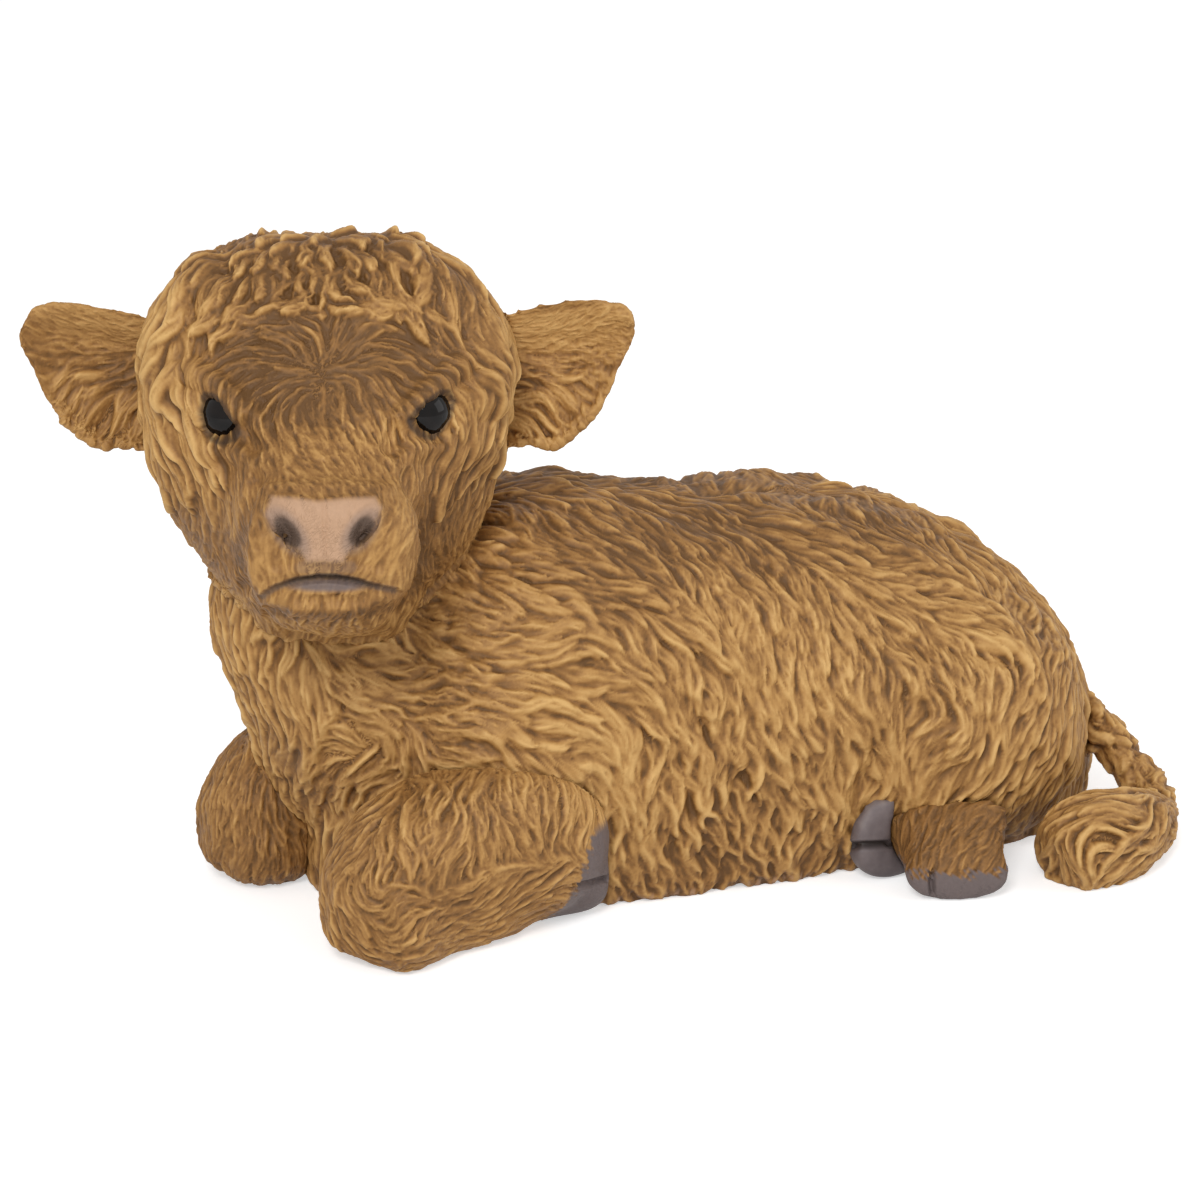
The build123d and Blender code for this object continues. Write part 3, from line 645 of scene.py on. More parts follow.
def coat(obj, guides, bare=None, shape=None, clump=0.0):
    """Carved hair over a piece: tufts along the guides with strands on them, in a fine mesh.

    bare gives a share from 0 to 1 of bare skin at each vertex, shape moves the fine mesh, and
    clump is the share of relief that wider clumps under the tufts have."""
    coarse, coarse_no = arrays(obj.data)
    flow, size = flow_field(coarse, coarse_no, guides)
    flow = swirled(flow, coarse, coarse_no)
    tree = KDTree(len(coarse))
    for i, p in enumerate(coarse):
        tree.insert(p, i)
    tree.balance()
    map_and_divide(obj)
    co, no = arrays(obj.data)
    edges = edge_array(obj.data)

    def layer(flow, size, density, shear):
        room = size[:, LENGTH] * size[:, WIDTH] * 2 * FILL / density
        roots = scatter(coarse, PACKING * np.sqrt(room))
        if bare is not None:
            roots = roots[bare(coarse[roots], coarse_no[roots]) < 0.5]
        return relief_of(co, no, grow(coarse, coarse_no, flow, size, roots, tree, shear))

    tuft, way, seed = layer(flow, size[:, TUFT], TUFT_DENSITY, SHEAR)
    # Strands follow the tuft they lie on; the coarse vertices come first in the fine mesh
    strand_flow = way[:len(coarse)].copy()
    bald = np.linalg.norm(strand_flow, axis=1) < 0.5
    strand_flow[bald] = flow[bald]
    strand_size = np.column_stack((
        size[:, STRAND], size[:, WAVE] * STRAND_WAVE, size[:, WAVE_LENGTH] * STRAND_WAVE_LENGTH,
    ))
    strand, strand_way, _ = layer(strand_flow, strand_size, STRAND_DENSITY, SHEAR * STRAND_SHEAR)
    if clump:
        wider, _, _ = layer(flow, size[:, TUFT] * CLUMP_SIZES, CLUMP_DENSITY, SHEAR)
        tuft = tuft + clump * relax(wider, edges, 3, 0.5)
    tuft = relax(tuft, edges, 3, 0.5)
    strand = relax(strand, edges, 1, 0.3)
    known = np.linalg.norm(strand_way, axis=1) > 0.5
    way = np.where(known[:, None], strand_way, way)
    fine = streaks(co, all_pairs(obj.data), way)
    top = tuft + strand + FINE * fine
    mean = relax(top, edges, 10, 0.6)
    wide = relax(mean, edges, 50, 0.6)
    skin_share = np.zeros(len(co)) if bare is None else bare(co, no)
    if shape is not None:
        put(obj.data, shape(co, no))
        co, no = arrays(obj.data)
    level = SINK + SINK * clump
    moved = co + no * ((top - level) * (1 - skin_share))[:, None]
    moved[:, 2] = np.maximum(moved[:, 2], 0.0)
    put(obj.data, moved)
    # Crests paler and grooves darker: a painted wash that also stands in for light and shade on the
    # coat
    attribute(obj.data, "ridge", np.clip(0.5 + (top - mean) * RIDGE_GAIN, 0, 1))
    attribute(obj.data, "mound", np.clip(0.5 + (mean - wide) * MOUND_GAIN, 0, 1))
    attribute(obj.data, "strand", 0.5 + 0.5 * fine)
    attribute(obj.data, "seed", relax(seed, edges, 2, 0.5))


# Sculpting by strokes and outlines, in pixels of the photograph's frame

def stroke_distance(pixels, stroke):
    best = np.full(len(pixels), np.inf)
    line = np.array(stroke, float)
    for a, b in zip(line[:-1], line[1:]):
        d = b - a
        share = np.clip(((pixels - a) @ d) / (d @ d), 0, 1)
        best = np.minimum(best, np.linalg.norm(pixels - a - share[:, None] * d, axis=1))
    return best


def inside_distance(pixels, outline):
    """Distance to an outline in pixels, positive inside."""
    line = np.array(outline, float)
    closed = np.vstack((line, line[:1]))
    away = stroke_distance(pixels, closed)
    x, y = pixels[:, 0], pixels[:, 1]
    within = np.zeros(len(pixels), bool)
    for (ax, ay), (bx, by) in zip(closed[:-1], closed[1:]):
        if ay == by:
            continue
        crosses = (ay > y) != (by > y)
        within ^= crosses & (x < (bx - ax) * (y - ay) / (by - ay) + ax)
    return np.where(within, away, -away)


def falloff(distance, radius):
    return np.clip(1 - (distance / radius) ** 2, 0, 1) ** 2


def smooth_step(value, low, high):
    t = np.clip((value - low) / (high - low), 0, 1)
    return t * t * (3 - 2 * t)


def blobs(pixels, rows):
    """Soft ovals of shade, each with its middle, half sizes and strength."""
    share = np.zeros(len(pixels))
    for middle, half, strength in rows:
        away = np.linalg.norm((pixels - middle) / np.array(half, float), axis=1)
        share = np.maximum(share, strength * (1 - smooth_step(away, 0.6, 1.4)))
    return share


def before_camera(no):
    """1 where a surface faces the camera, 0 where it faces away."""
    return smooth_step(-(no @ look), 0.0, 0.15)


# Materials

def material(name):
    mat = bpy.data.materials.new(name)
    mat.use_nodes = True
    nodes = mat.node_tree.nodes
    nodes.clear()
    out = nodes.new("ShaderNodeOutputMaterial")
    shader = nodes.new("ShaderNodeBsdfPrincipled")
    mat.node_tree.links.new(shader.outputs[0], out.inputs[0])
    return mat, mat.node_tree, shader


def node(tree, kind, **values):
    made = tree.nodes.new(kind)
    for key, value in values.items():
        made.inputs[key].default_value = value
    return made


def noise(tree, scale, detail):
    made = node(tree, "ShaderNodeTexNoise", Scale=scale, Detail=detail)
    place = tree.nodes.new("ShaderNodeTexCoord").outputs["Object"]
    tree.links.new(place, made.inputs["Vector"])
    return made.outputs[0]


def bump(tree, height, strength, distance):
    made = node(tree, "ShaderNodeBump", Strength=strength, Distance=distance)
    tree.links.new(height, made.inputs["Height"])
    return made


def mix(tree, factor, a, b, blend="MIX"):
    """Colour a with b laid over it by the factor."""
    made = tree.nodes.new("ShaderNodeMix")
    made.data_type = "RGBA"
    made.blend_type = blend
    for socket, value in ((made.inputs[0], factor), (made.inputs[6], a), (made.inputs[7], b)):
        if isinstance(value, (float, int)):
            socket.default_value = value
        elif isinstance(value, tuple):
            socket.default_value = (*value, 1.0)
        else:
            tree.links.new(value, socket)
    return made.outputs[2]


def fact(tree, name):
    made = tree.nodes.new("ShaderNodeAttribute")
    made.attribute_name = name
    return made.outputs["Fac"]


def sums(tree, operation, *values):
    made = tree.nodes.new("ShaderNodeMath")
    made.operation = operation
    for socket, value in zip(made.inputs, values):
        if isinstance(value, (float, int)):
            socket.default_value = value
        else:
            tree.links.new(value, socket)
    return made.outputs[0]


def ramp(tree, value, stops):
    """Colours in between stops, each a level and a colour."""
    made = tree.nodes.new("ShaderNodeValToRGB")
    made.color_ramp.elements[0].position = stops[0][0]
    made.color_ramp.elements[0].color = (*stops[0][1], 1)
    made.color_ramp.elements[1].position = stops[-1][0]
    made.color_ramp.elements[1].color = (*stops[-1][1], 1)
    for place, colour in stops[1:-1]:
        made.color_ramp.elements.new(place).color = (*colour, 1)
    tree.links.new(value, made.inputs[0])
    return made.outputs[0]


def linear(r, g, b):
    return tuple(
        ((c / 255 + 0.055) / 1.055) ** 2.4 if c > 10 else c / 255 / 12.92 for c in (r, g, b)
    )


# The darkest paint, for the wash in the grooves that also stands in for their shade, and for
# painted shade
WASH_AND_SHADE = linear(98, 67, 33)
BROWN = linear(139, 98, 51)
GOLD = linear(176, 132, 75)
STRAW = linear(208, 166, 104)
FLESH = linear(184, 147, 117)
SLATE = linear(106, 94, 92)
# Painted shadow in the openings, creases and clefts
PAINTED_SHADOW = linear(38, 28, 24)
# Stops of the other colours, dark to pale
HOOF = ((0.3, linear(84, 74, 74)), (0.55, linear(108, 97, 97)), (0.75, linear(132, 121, 116)))
GLASS = ((0.35, (0.003, 0.002, 0.0015)), (0.7, (0.007, 0.004, 0.003)))
RESIN = ((0.3, linear(186, 166, 136)), (0.7, linear(208, 190, 160)))
RUBBER = ((0.3, (0.012, 0.012, 0.012)), (0.7, (0.03, 0.03, 0.03)))
PAPER = ((0.3, (0.80, 0.80, 0.80)), (0.7, (0.84, 0.84, 0.84)))


def finish(tree, shader, colour, roughness, gloss=None, grain=None):
    tree.links.new(colour, shader.inputs["Base Color"])
    shader.inputs["Roughness"].default_value = roughness
    if gloss is not None:
        shader.inputs["Specular IOR Level"].default_value = gloss
    if grain is not None:
        tree.links.new(grain.outputs[0], shader.inputs["Normal"])


def coat_material(name):
    """Painted resin: straw on the locks' crests and a brown wash in the grooves, which also stand
    in for light and shade there, with painted shade, slate, flesh and painted shadow.
    """
    mat, tree, shader = material(name)
    strand = fact(tree, "strand")
    speck = noise(tree, 900.0, 2.0)
    # How pale the paint is: the share of each, and where that starts; ridge and mound give a wash
    # that also stands in for light and shade, and shade is painted shade
    level = 0.0
    for value, share, start in (
        (strand, 0.22, -0.14), (fact(tree, "ridge"), 0.75, 0.125),
        (fact(tree, "mound"), 0.45, -0.225), (noise(tree, 22.0, 4.0), 0.6, -0.3),
        (speck, 0.16, -0.08), (fact(tree, "seed"), 0.12, -0.06), (fact(tree, "shade"), -0.3, 0.0),
    ):
        level = sums(tree, "ADD", level, sums(tree, "MULTIPLY_ADD", value, share, start))
    colour = ramp(tree, level, ((0.10, WASH_AND_SHADE), (0.34, BROWN), (0.56, GOLD), (0.88, STRAW)))
    # Flesh and slate are the paint's own colours; the last mask is painted shadow
    for mask, paint, spread in (
        ("flesh", FLESH, 0.10), ("slate", SLATE, 0.16), ("painted_shadow", PAINTED_SHADOW, 0.0),
    ):
        worn = sums(tree, "MULTIPLY_ADD", speck, 2 * spread, 1 - spread)
        tint = mix(tree, 1.0, paint, worn, "MULTIPLY") if spread else paint
        colour = mix(tree, fact(tree, mask), colour, tint)
    lines = bump(tree, strand, 0.6, 0.0004)
    grain = bump(tree, speck, 0.25, 0.0003)
    tree.links.new(lines.outputs[0], grain.inputs["Normal"])
    finish(tree, shader, colour, 0.6, gloss=0.3, grain=grain)
    return mat


def plain_material(name, stops, scale, strength, distance, roughness, groove=None):
    """Matt material with a mottle and its grain, and painted shadow where a groove is named."""
    mat, tree, shader = material(name)
    mottle = noise(tree, scale, 5.0)
    colour = ramp(tree, mottle, stops)
    if groove:
        colour = mix(tree, fact(tree, groove), colour, PAINTED_SHADOW)
    finish(tree, shader, colour, roughness, grain=bump(tree, mottle, strength, distance))
    return mat


def dress(obj, mat, slot, *nodes):
    """A piece's material and solids; the slot is not used."""
    obj.data.materials.clear()
    obj.data.materials.append(mat)
    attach(obj, "root")
    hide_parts(*nodes)


hair = coat_material("painted_coat")

# Body, with guides along the back and rump
BACK_GUIDES = (
    ((150, 0, 60), (0.1, 0, -1), "leaf"), ((140, 30, 40), (0, 0.2, -1), "leaf"),
    ((130, 0, 95), (0.6, 0, -0.8), "leaf"), ((-20, 0, 130), (1, 0, 0), "leaf"),
    ((60, 0, 120), (1, 0, -0.1), "leaf"), ((-80, 0, 130), (1, 0.1, 0), "leaf"),
)
body = skin("coat_body", ("body_casting",), cell=2.4, smooth=6, filled=True)
guides = both_sides(pixel_guides(as_tree(body), BODY_GUIDES))
coat(body, and_more(guides, BACK_GUIDES), clump=0.9)
co, no = arrays(body.data)

# Painted shade over the back and under the flanks, by height
back_shade = 0.75 * smooth_step(co[:, 2], 92, 122)
belly_shade = 0.4 * smooth_step(-co[:, 2], -30, -8)
attribute(body.data, "shade", back_shade + belly_shade)

# Pale specks of bare resin along the lower edge
SPECK_WAVES = ((1.3, 0.9, 0.4), (-0.7, 2.3, 0.9))
specks = smooth_step(sum(np.sin(co @ wave) for wave in SPECK_WAVES), 0.9, 1.5)
attribute(body.data, "flesh", 0.7 * specks * (1 - smooth_step(co[:, 2], 1.5, 4.0)))

# Inside the closing plate's outline the underside stays within the plate's thickness
SHARE_OF_PLATE = 0.6
plate = as_tree(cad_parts["base_plate"])
plate_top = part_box("base_plate")[1][2] / MM
for i in np.nonzero((co[:, 2] < 3.0) & (no[:, 2] < -0.3))[0]:
    below = Vector((co[i, 0], co[i, 1], -5.0))
    if plate.ray_cast(below, Vector((0, 0, 1)), 20)[0] is not None:
        co[i, 2] = SHARE_OF_PLATE * plate_top
put(body.data, co)
dress(body, hair, "coat", "body_casting")

# Head, with guides behind and under it along its axes
BEHIND_GUIDES = (
    ((0, 40, -45), (0, -0.8, -0.6), "leaf"), ((0, 0, -52), (0, -1, 0), "leaf"),
    ((40, 0, -35), (0.2, -1, -0.2), "leaf"), ((-40, 0, -35), (-0.2, -1, -0.2), "leaf"),
    ((0, 66, -5), (0, 0, -1), "curl"), ((50, 30, -20), (0.3, -0.9, -0.2), "fringe"),
    ((-50, 30, -20), (-0.3, -0.9, -0.2), "fringe"), ((0, -60, 10), (0, -0.3, -1), "beard"),
)

# Face, in pixels of the photograph's frame
NOSE = (
    (272, 497), (298, 499), (318, 502), (346, 499), (375, 498), (381, 508), (374, 521), (362, 535),
    (350, 549), (343, 561), (306, 561), (301, 550), (284, 538), (266, 515),
)
# Each nostril's middle, half sizes and turn in degrees
NOSTRILS = (((288, 532), (20, 10), 52), ((361, 531), (18, 10), 126))
MOUTH = (
    (263, 596), (276, 587), (296, 580), (318, 576), (334, 576), (354, 580), (374, 586), (394, 590),
)
MOUTH_MIDDLE = 328
LOWER_LIP = (((328, 585), (40, 6.5), 0.9),)
UPPER_LIP = ((302, 567), (350, 567))
# Short fine fur round the nose and mouth, set off from the cheeks
MUZZLE = (
    (266, 478), (250, 510), (242, 550), (248, 585), (262, 606), (300, 612), (350, 612), (394, 604),
    (412, 588), (422, 550), (416, 510), (400, 478), (330, 470),
)
EYE_OPENINGS = {
    "right_eye": (
        (205, 396), (212, 396), (220, 404), (226, 414), (233, 424), (237, 433), (234, 438),
        (221, 442), (212, 438), (206, 426), (203, 412),
    ),
    "left_eye": (
        (410, 421), (418, 411), (429, 402), (440, 394), (448, 393), (452, 401), (449, 414),
        (441, 428), (431, 437), (420, 433), (413, 427),
    ),
}
# Strokes on the face: points, radius in pixels and height in millimetres
FACE_STROKES = (
    (((196, 372), (215, 384), (236, 402), (252, 420)), 17, 2.4),
    (((456, 368), (438, 384), (416, 404), (402, 420)), 17, 2.4),
    (((190, 400), (195, 430), (212, 452), (238, 452)), 15, 1.8),
    (((462, 398), (462, 420), (446, 446), (416, 450)), 15, 1.8),
    (((246, 428), (252, 446)), 14, -2.5),
    (((396, 428), (392, 446)), 14, -2.5),
    (((410, 476), (426, 512), (430, 548), (418, 590), (400, 608)), 11, -2.6),
    (((254, 476), (240, 512), (234, 550), (242, 590)), 11, -2.6),
    (((268, 612), (298, 630), (335, 634), (372, 627), (397, 608)), 9, -3.5),
    (((262, 492), (300, 488), (345, 488), (385, 492)), 12, 1.2),
    (((276, 572), (310, 566), (345, 566), (380, 574)), 9, 0.8),
    (((296, 606), (330, 610), (362, 606)), 14, 2.2),
    (((300, 592), (330, 590), (358, 592)), 6, 0.8),
    (((325, 506), (325, 560)), 4, -0.5),
)
# The hood of long locks at the sides of the head, and the cheeks under it
HOOD_STROKES = (
    (((404, 262), (450, 290), (480, 330), (490, 372), (482, 396)), 26, 3.6),
    (((206, 276), (178, 320), (164, 360), (170, 396)), 26, 3.6),
    (((474, 482), (458, 540), (440, 590)), 36, -3.8),
    (((180, 482), (200, 550), (222, 600)), 36, -2.4),
    (((432, 470), (440, 520), (436, 560)), 24, -2.4),
    (((222, 470), (222, 520), (232, 560)), 24, -2.4),
)
BEARD = ((268, 636), (300, 650), (345, 650), (392, 632))
BEARD_RADIUS = 34
# Heights and depths on the face in millimetres
BEARD_DROP = 7.0
MUZZLE_RISE = 2.8
PAD_RISE = 0.5
NOSTRIL_DEPTH = 2.0
NOSTRIL_RIM = 0.7
MOUTH_DEPTH = 2.0
# Millimetres that the coat stands over the glass domes, and under them in the openings
LID = 0.9
UNDER_GLASS = 2.6
# The domes move what lies this far round them
DOME_MARGIN = 4
DOME_REACH = 7
# Ovals of painted shade on the face: middle, half sizes and strength
FACE_SHADE = (
    ((325, 370), (130, 60), 1.15), ((325, 270), (150, 60), 0.6), ((325, 470), (100, 70), 0.35),
    ((455, 520), (46, 90), 0.6), ((210, 510), (40, 90), 0.35), ((325, 492), (70, 12), 0.6),
    ((240, 455), (26, 40), 0.5), ((412, 458), (26, 40), 0.5),
)


def nostril_distance(pixels):
    """Distance from the nearer nostril's middle, 1 at its edge."""
    best = np.full(len(pixels), 9.0)
    for centre, half, angle in NOSTRILS:
        d = pixels - np.array(centre, float)
        c, s = np.cos(radians(angle)), np.sin(radians(angle))
        along = (d[:, 0] * c + d[:, 1] * s) / half[0]
        beside = (d[:, 1] * c - d[:, 0] * s) / half[1]
        best = np.minimum(best, np.hypot(along, beside))
    return best


def opening_distance(pixels):
    """Distance to the edge of the nearer eye opening in pixels, positive inside."""
    return np.maximum(*(inside_distance(pixels, outline) for outline in EYE_OPENINGS.values()))


def eye_share(co, no):
    """1 inside the eye openings, 0 outside, with a soft edge."""
    return smooth_step(opening_distance(project(co)), -2.0, 1.5) * before_camera(no)


def nose_share(co, no):
    return smooth_step(inside_distance(project(co), NOSE), -4.0, 3.0) * before_camera(no)


def lip_share(co, no):
    """How much of the fur is worn off the lips."""
    pixels = project(co)
    lower = blobs(pixels, LOWER_LIP)
    upper = 0.3 * (1 - smooth_step(stroke_distance(pixels, UPPER_LIP), 4, 9))
    mouth = 0.4 * (1 - smooth_step(stroke_distance(pixels, MOUTH), 1.5, 5.0))
    return np.maximum(np.maximum(lower, upper), mouth) * before_camera(no)


def face_bare(co, no):
    return np.maximum(np.maximum(eye_share(co, no), nose_share(co, no)), lip_share(co, no))


def open_eyes(co, moved, opening):
    """Lays the coat over the glass domes, and under them inside the openings."""
    for name in EYE_OPENINGS:
        dome = as_tree(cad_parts[name])
        low, high = (np.array(corner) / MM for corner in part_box(name))
        near = ((co > low - DOME_MARGIN) & (co < high + DOME_MARGIN)).all(1)
        for i in np.nonzero(near)[0]:
            hit, normal, _, distance = dome.find_nearest(Vector(moved[i]))
            if normal is None or distance > DOME_REACH:
                continue
            if normal.dot(Vector(FORWARD)) < 0.1:
                continue
            hit, normal = np.array(hit), np.array(normal)
            height = (moved[i] - hit) @ normal
            target = max(height, LID) * (1 - opening[i]) - UNDER_GLASS * opening[i]
            moved[i] += normal * (target - height)
    return moved


def face_shape(co, no):
    """Brows, nose, nostrils, mouth and chin, and the openings over the glass eyes."""
    pixels = project(co)
    front = before_camera(no)
    side = smooth_step(-(no @ look), -0.5, -0.1)
    moved = co.copy()
    for strokes, seen in ((FACE_STROKES, front), (HOOD_STROKES, side)):
        for stroke, radius, height in strokes:
            share = falloff(stroke_distance(pixels, stroke), radius)
            moved += no * (share * seen * height)[:, None]
    beard = falloff(stroke_distance(pixels, BEARD), BEARD_RADIUS)
    moved -= UP * (BEARD_DROP * beard)[:, None]
    muzzle = smooth_step(inside_distance(pixels, MUZZLE), -4.0, 10.0)
    below = smooth_step(pixels[:, 1], 450, 520)
    moved += no * (muzzle * below * front * MUZZLE_RISE)[:, None]
    pad = smooth_step(inside_distance(pixels, NOSE), -1.5, 5.0)
    moved += no * (pad * front * PAD_RISE)[:, None]
    nostril = nostril_distance(pixels)
    moved -= no * ((1 - smooth_step(nostril, 0.35, 1.05)) * front * NOSTRIL_DEPTH)[:, None]
    moved += no * (falloff(nostril - 1.25, 0.45) * front * NOSTRIL_RIM)[:, None]
    mouth = falloff(stroke_distance(pixels, MOUTH), 5.0)
    moved -= no * (mouth * front * MOUTH_DEPTH)[:, None]
    return open_eyes(co, moved, eye_share(co, no))


def paint_face(obj):
    """Flesh on the nose, slate on the lips and round the nostrils, painted shadow round the eyes,
    in the mouth's crease and the nostrils, and painted shade.
    """
    co, no = arrays(obj.data)
    pixels = project(co)
    front = before_camera(no)
    nostril = nostril_distance(pixels)
    attribute(obj.data, "flesh", nose_share(co, no))
    around_nostril = 0.45 * (1 - smooth_step(nostril, 1.1, 1.9)) * front
    attribute(obj.data, "slate", np.maximum(lip_share(co, no), around_nostril))
    # Painted shadow round the eye openings and in the mouth's crease, fainter towards its corners
    rim = 1 - smooth_step(np.abs(opening_distance(pixels)), 2.0, 6.0)
    crease = 1 - smooth_step(stroke_distance(pixels, MOUTH), 1.2, 4.4)
    crease *= 1 - 0.65 * smooth_step(np.abs(pixels[:, 0] - MOUTH_MIDDLE), 35, 68)
    # Painted shadow in the nostrils' depths, which turn from the camera, so they are found by how
    # far ahead they lie
    ahead = smooth_step((co - HEAD_CENTRE) @ FORWARD, 20, 30)
    depths = ahead * (1 - smooth_step(nostril, 0.75, 1.15))
    painted_shadow = np.maximum(np.maximum(0.75 * rim, 0.85 * crease) * front, 0.72 * depths)
    attribute(obj.data, "painted_shadow", painted_shadow)
    # Painted shade along the muzzle's edge, added to the ovals of painted shade
    groove = front * (1 - smooth_step(np.abs(inside_distance(pixels, MUZZLE) + 3), 1.0, 8.0))
    groove *= smooth_step(pixels[:, 1], 490, 540)
    attribute(obj.data, "shade", blobs(pixels, FACE_SHADE) * front + 0.7 * groove)


head = skin("coat_head", ("head_casting", "left_eye", "right_eye"), cell=2.0, smooth=4, filled=True)
guides = and_more(pixel_guides(as_tree(head), HEAD_GUIDES), tuple(
    (head_place(*place), LEFTWARD * way[0] + UP * way[1] + FORWARD * way[2], kind)
    for place, way, kind in BEHIND_GUIDES
))
coat(head, guides, bare=face_bare, shape=face_shape)
paint_face(head)
dress(head, hair, "coat", "head_casting")


# Legs and tail

def ragged(co):
    """Millimetres to and fro, as hair hangs over a hoof's edge."""
    return 1.3 * np.sin(co @ (0.9, 1.1, 0.7)) + 0.9 * np.sin(co @ (2.1, -1.7, 2.6))


def foreleg_hoof(co):
    behind = smooth_step(co[:, 0] - 0.35 * co[:, 2] + ragged(co), -84, -81)
    return behind * (1 - smooth_step(co[:, 2], 33, 37))


def hind_leg_hoof(co):
    return 1 - smooth_step(co[:, 2] + ragged(co), 8.5, 10.5)


def no_hoof(co):
    return np.zeros(len(co))


def cleft_share(co, line, radius):
    return falloff(stroke_distance(project(co), line), radius)


def limb(name, node_name, rows, hoof_share, cleft, shade):
    """A leg or the tail under its coat, with its hoof and the cleft in it."""
    def cut_cleft(co, no):
        share = cleft_share(co, cleft, 5) * hoof_share(co) * before_camera(no)
        return co - no * (CLEFT_DEPTH * share)[:, None]

    piece = skin(name, (node_name,), cell=1.8, smooth=3)
    guides = pixel_guides(as_tree(piece), rows)
    shape = cut_cleft if cleft else None
    coat(piece, guides, bare=lambda co, no: hoof_share(co), shape=shape)
    co, _ = arrays(piece.data)
    attribute(piece.data, "slate", hoof_share(co))
    attribute(piece.data, "shade", np.full(len(co), shade))
    dress(piece, hair, "coat", node_name)


CLEFT_DEPTH = 2.6
FORELEG_CLEFT = ((566, 888), (590, 884), (616, 876))
HIND_LEG_CLEFT = ((931, 868), (933, 905))
limb("coat_left_foreleg", "left_foreleg", LEG_GUIDES, foreleg_hoof, FORELEG_CLEFT, 0.15)
limb("coat_right_foreleg", "right_foreleg", FAR_LEG_GUIDES, no_hoof, None, 0.6)
limb("coat_left_hind_leg", "left_hind_leg", HIND_LEG_GUIDES, hind_leg_hoof, HIND_LEG_CLEFT, 0.9)
limb("coat_tail", "tail", TAIL_GUIDES, no_hoof, None, 0.1)

# Ears: a fold along the upper edge and a lobe below it
LOBE = ((562, 430), (585, 420), (612, 392))
FOLD = ((515, 330), (560, 326), (600, 318), (628, 312))
FAR_LOBE = ((92, 426), (75, 416), (50, 390))
FAR_FOLD = ((145, 330), (100, 324), (60, 312), (40, 304))
LOBE_RADIUS = 34
LOBE_DROP = 5.5
FOLD_RADIUS = 22
FOLD_RISE = 1.4
# Pixels that the painted highlight along the fold reaches
FOLD_GLEAM_RADIUS = 24
# Ovals of painted shade on the ears: middle, half sizes and strength
EAR_SHADE = (
    ((520, 375), (35, 16), 0.8), ((130, 375), (32, 16), 0.8), ((565, 365), (60, 12), 0.4),
    ((80, 360), (60, 12), 0.4),
)


def ear(name, node_name, rows, lobe, fold):
    def fuller_lobe(co, no):
        pixels = project(co)
        drop = LOBE_DROP * falloff(stroke_distance(pixels, lobe), LOBE_RADIUS)
        rise = FOLD_RISE * (falloff(stroke_distance(pixels, fold), FOLD_RADIUS) * before_camera(no))
        return co - UP * drop[:, None] + no * rise[:, None]

    piece = skin(name, (node_name,), cell=1.6, smooth=3)
    coat(piece, pixel_guides(as_tree(piece), rows), shape=fuller_lobe)
    pixels = project(arrays(piece.data)[0])
    # A painted highlight along the fold, taken off the painted shade
    gleam = 0.5 * falloff(stroke_distance(pixels, fold), FOLD_GLEAM_RADIUS)
    attribute(piece.data, "shade", blobs(pixels, EAR_SHADE) - gleam)
    dress(piece, hair, "coat", node_name)


ear("coat_left_ear", "left_ear", EAR_GUIDES, LOBE, FOLD)
ear("coat_right_ear", "right_ear", FAR_EAR_GUIDES, FAR_LOBE, FAR_FOLD)

# The right hind hoof, which comes out from under the belly
HOOF_CLEFT = ((848, 846), (880, 845), (914, 843))
HOOF_CLEFT_DEPTH = 2.4
hoof = skin("slate_hoof", ("right_hind_hoof",), cell=1.6, smooth=2)
map_and_divide(hoof)
co, no = arrays(hoof.data)
cleft = cleft_share(co, HOOF_CLEFT, 6)
put(hoof.data, co - no * (HOOF_CLEFT_DEPTH * cleft * before_camera(no))[:, None])
# Painted shadow in the cleft, through the groove mask
attribute(hoof.data, "groove", cleft)
slate = plain_material("slate_paint", HOOF, 120.0, 0.35, 0.0004, 0.6, groove="groove")
dress(hoof, slate, "hoof", "right_hind_hoof")

# Pieces shown as they are
glass, tree, shader = material("dark_glass")
finish(tree, shader, ramp(tree, noise(tree, 260.0, 2.0), GLASS), 0.05, gloss=0.2)
resin = plain_material("bare_resin", RESIN, 60.0, 0.3, 0.0003, 0.7)
rubber = plain_material("black_rubber", RUBBER, 400.0, 0.3, 0.0003, 0.75)
for name, mat in (
    ("left_eye", glass), ("right_eye", glass), ("base_plate", resin), ("vent_plug", rubber),
):
    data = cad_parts[name].data
    data.materials.clear()
    data.materials.append(mat)


# Floor, backdrop and light

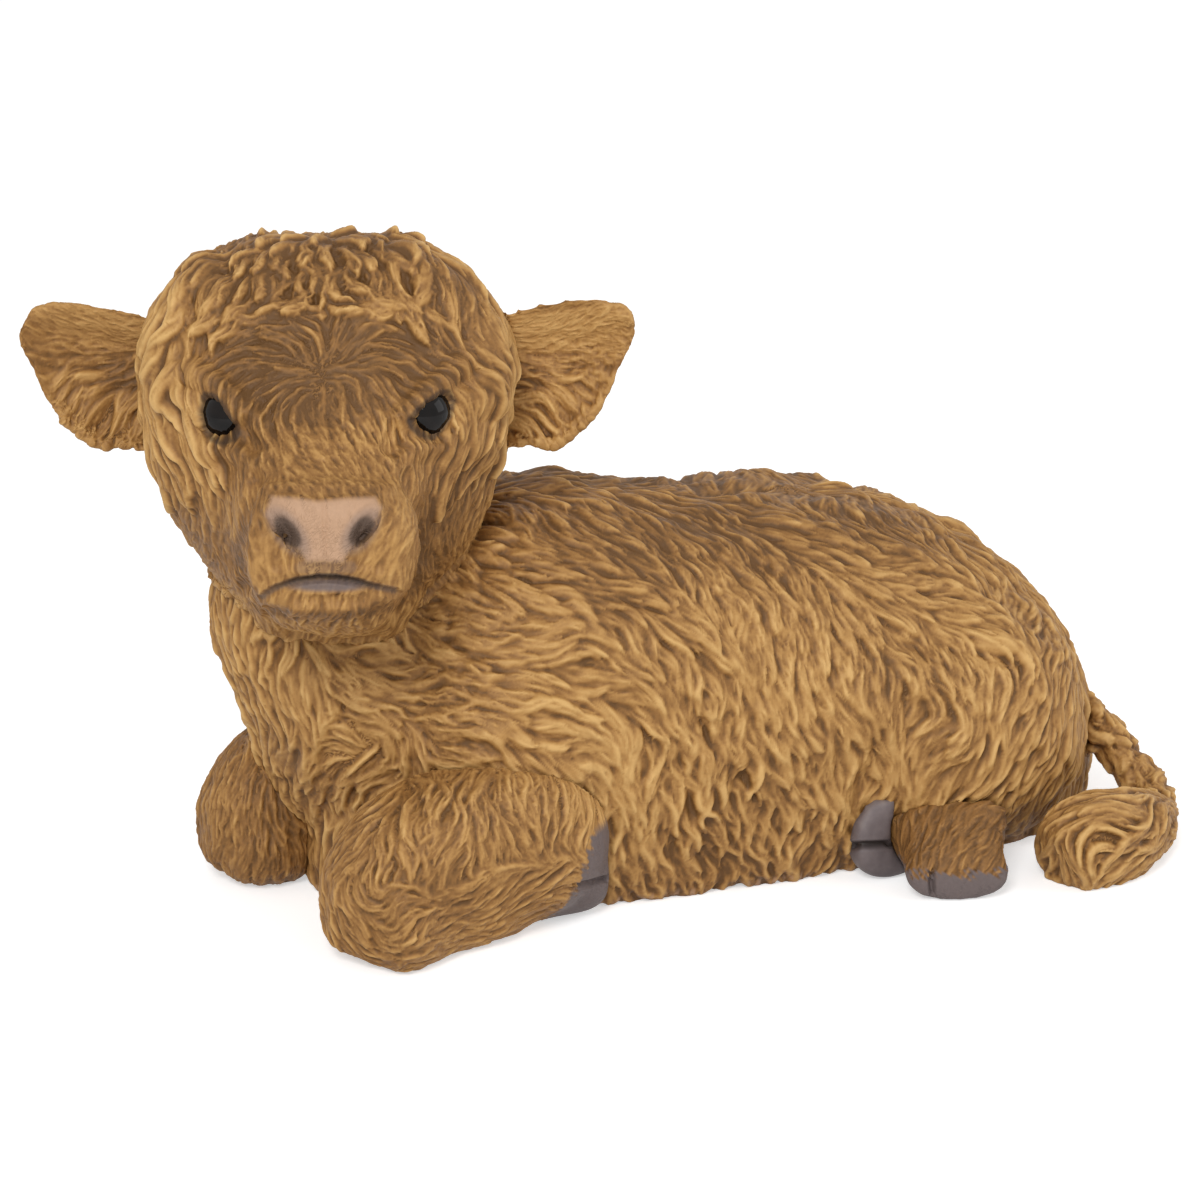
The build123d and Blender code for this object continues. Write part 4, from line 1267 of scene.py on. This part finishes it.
def choose_when_seen(tree, usual, shown, target):
    """One shader lights the figure, another is seen, also in glass and gloss."""
    path = tree.nodes.new("ShaderNodeLightPath")
    seen = sums(tree, "MAXIMUM", path.outputs["Is Camera Ray"], path.outputs["Is Glossy Ray"])
    seen = sums(tree, "MAXIMUM", seen, path.outputs["Is Transmission Ray"])
    choose = tree.nodes.new("ShaderNodeMixShader")
    tree.links.new(seen, choose.inputs[0])
    tree.links.new(usual.outputs[0], choose.inputs[1])
    tree.links.new(shown.outputs[0], choose.inputs[2])
    tree.links.new(choose.outputs[0], target.inputs[0])


# In metres: the floor's corners, and its depth below the rest plane
CORNERS = ((-4, -4, 0), (4, -4, 0), (4, 4, 0), (-4, 4, 0))
FLOOR_DROP = 0.0002
floor_mesh = bpy.data.meshes.new("floor")
floor_mesh.from_pydata(CORNERS, [], [(0, 1, 2, 3)])
floor = bpy.data.objects.new("floor", floor_mesh)
floor.location = (0, 0, -FLOOR_DROP)
bpy.context.scene.collection.objects.link(floor)
paper, tree, shader = material("white_floor")
floor_mesh.materials.append(paper)
grain = node(tree, "ShaderNodeTexNoise", Scale=40.0, Detail=2.0)
finish(tree, shader, ramp(tree, grain.outputs[0], PAPER), 0.9)
# Where it's seen the floor is white, but for the shadow on it
glow = node(tree, "ShaderNodeEmission", Strength=0.5)
lifted = tree.nodes.new("ShaderNodeAddShader")
tree.links.new(shader.outputs[0], lifted.inputs[0])
tree.links.new(glow.outputs[0], lifted.inputs[1])
choose_when_seen(tree, shader, lifted, tree.nodes["Material Output"])

world = bpy.data.worlds.new("studio")
bpy.context.scene.world = world
world.use_nodes = True
tree = world.node_tree
tree.nodes.clear()
world_out = tree.nodes.new("ShaderNodeOutputWorld")
soft = node(tree, "ShaderNodeBackground", Color=(1, 1, 1, 1), Strength=0.55)
white = node(tree, "ShaderNodeBackground", Color=(1, 1, 1, 1), Strength=1.0)
choose_when_seen(tree, soft, white, world_out)


def lamp(name, place, side, power):
    """Square lamp aimed at the figure, in metres and watts."""
    data = bpy.data.lights.new(name, "AREA")
    data.shape = "RECTANGLE"
    data.size = data.size_y = side
    data.energy = power
    obj = bpy.data.objects.new(name, data)
    bpy.context.scene.collection.objects.link(obj)
    obj.location = place
    obj.rotation_mode = "QUATERNION"
    aim = Vector((0, 0, 0.08)) - Vector(place)
    obj.rotation_quaternion = aim.to_track_quat("-Z", "Y")


lamp("key", (-1.0, -1.4, 1.35), side=0.6, power=22)
lamp("fill", (1.4, -0.9, 0.9), side=1.2, power=7)
bpy.context.scene.view_settings.view_transform = "Standard"
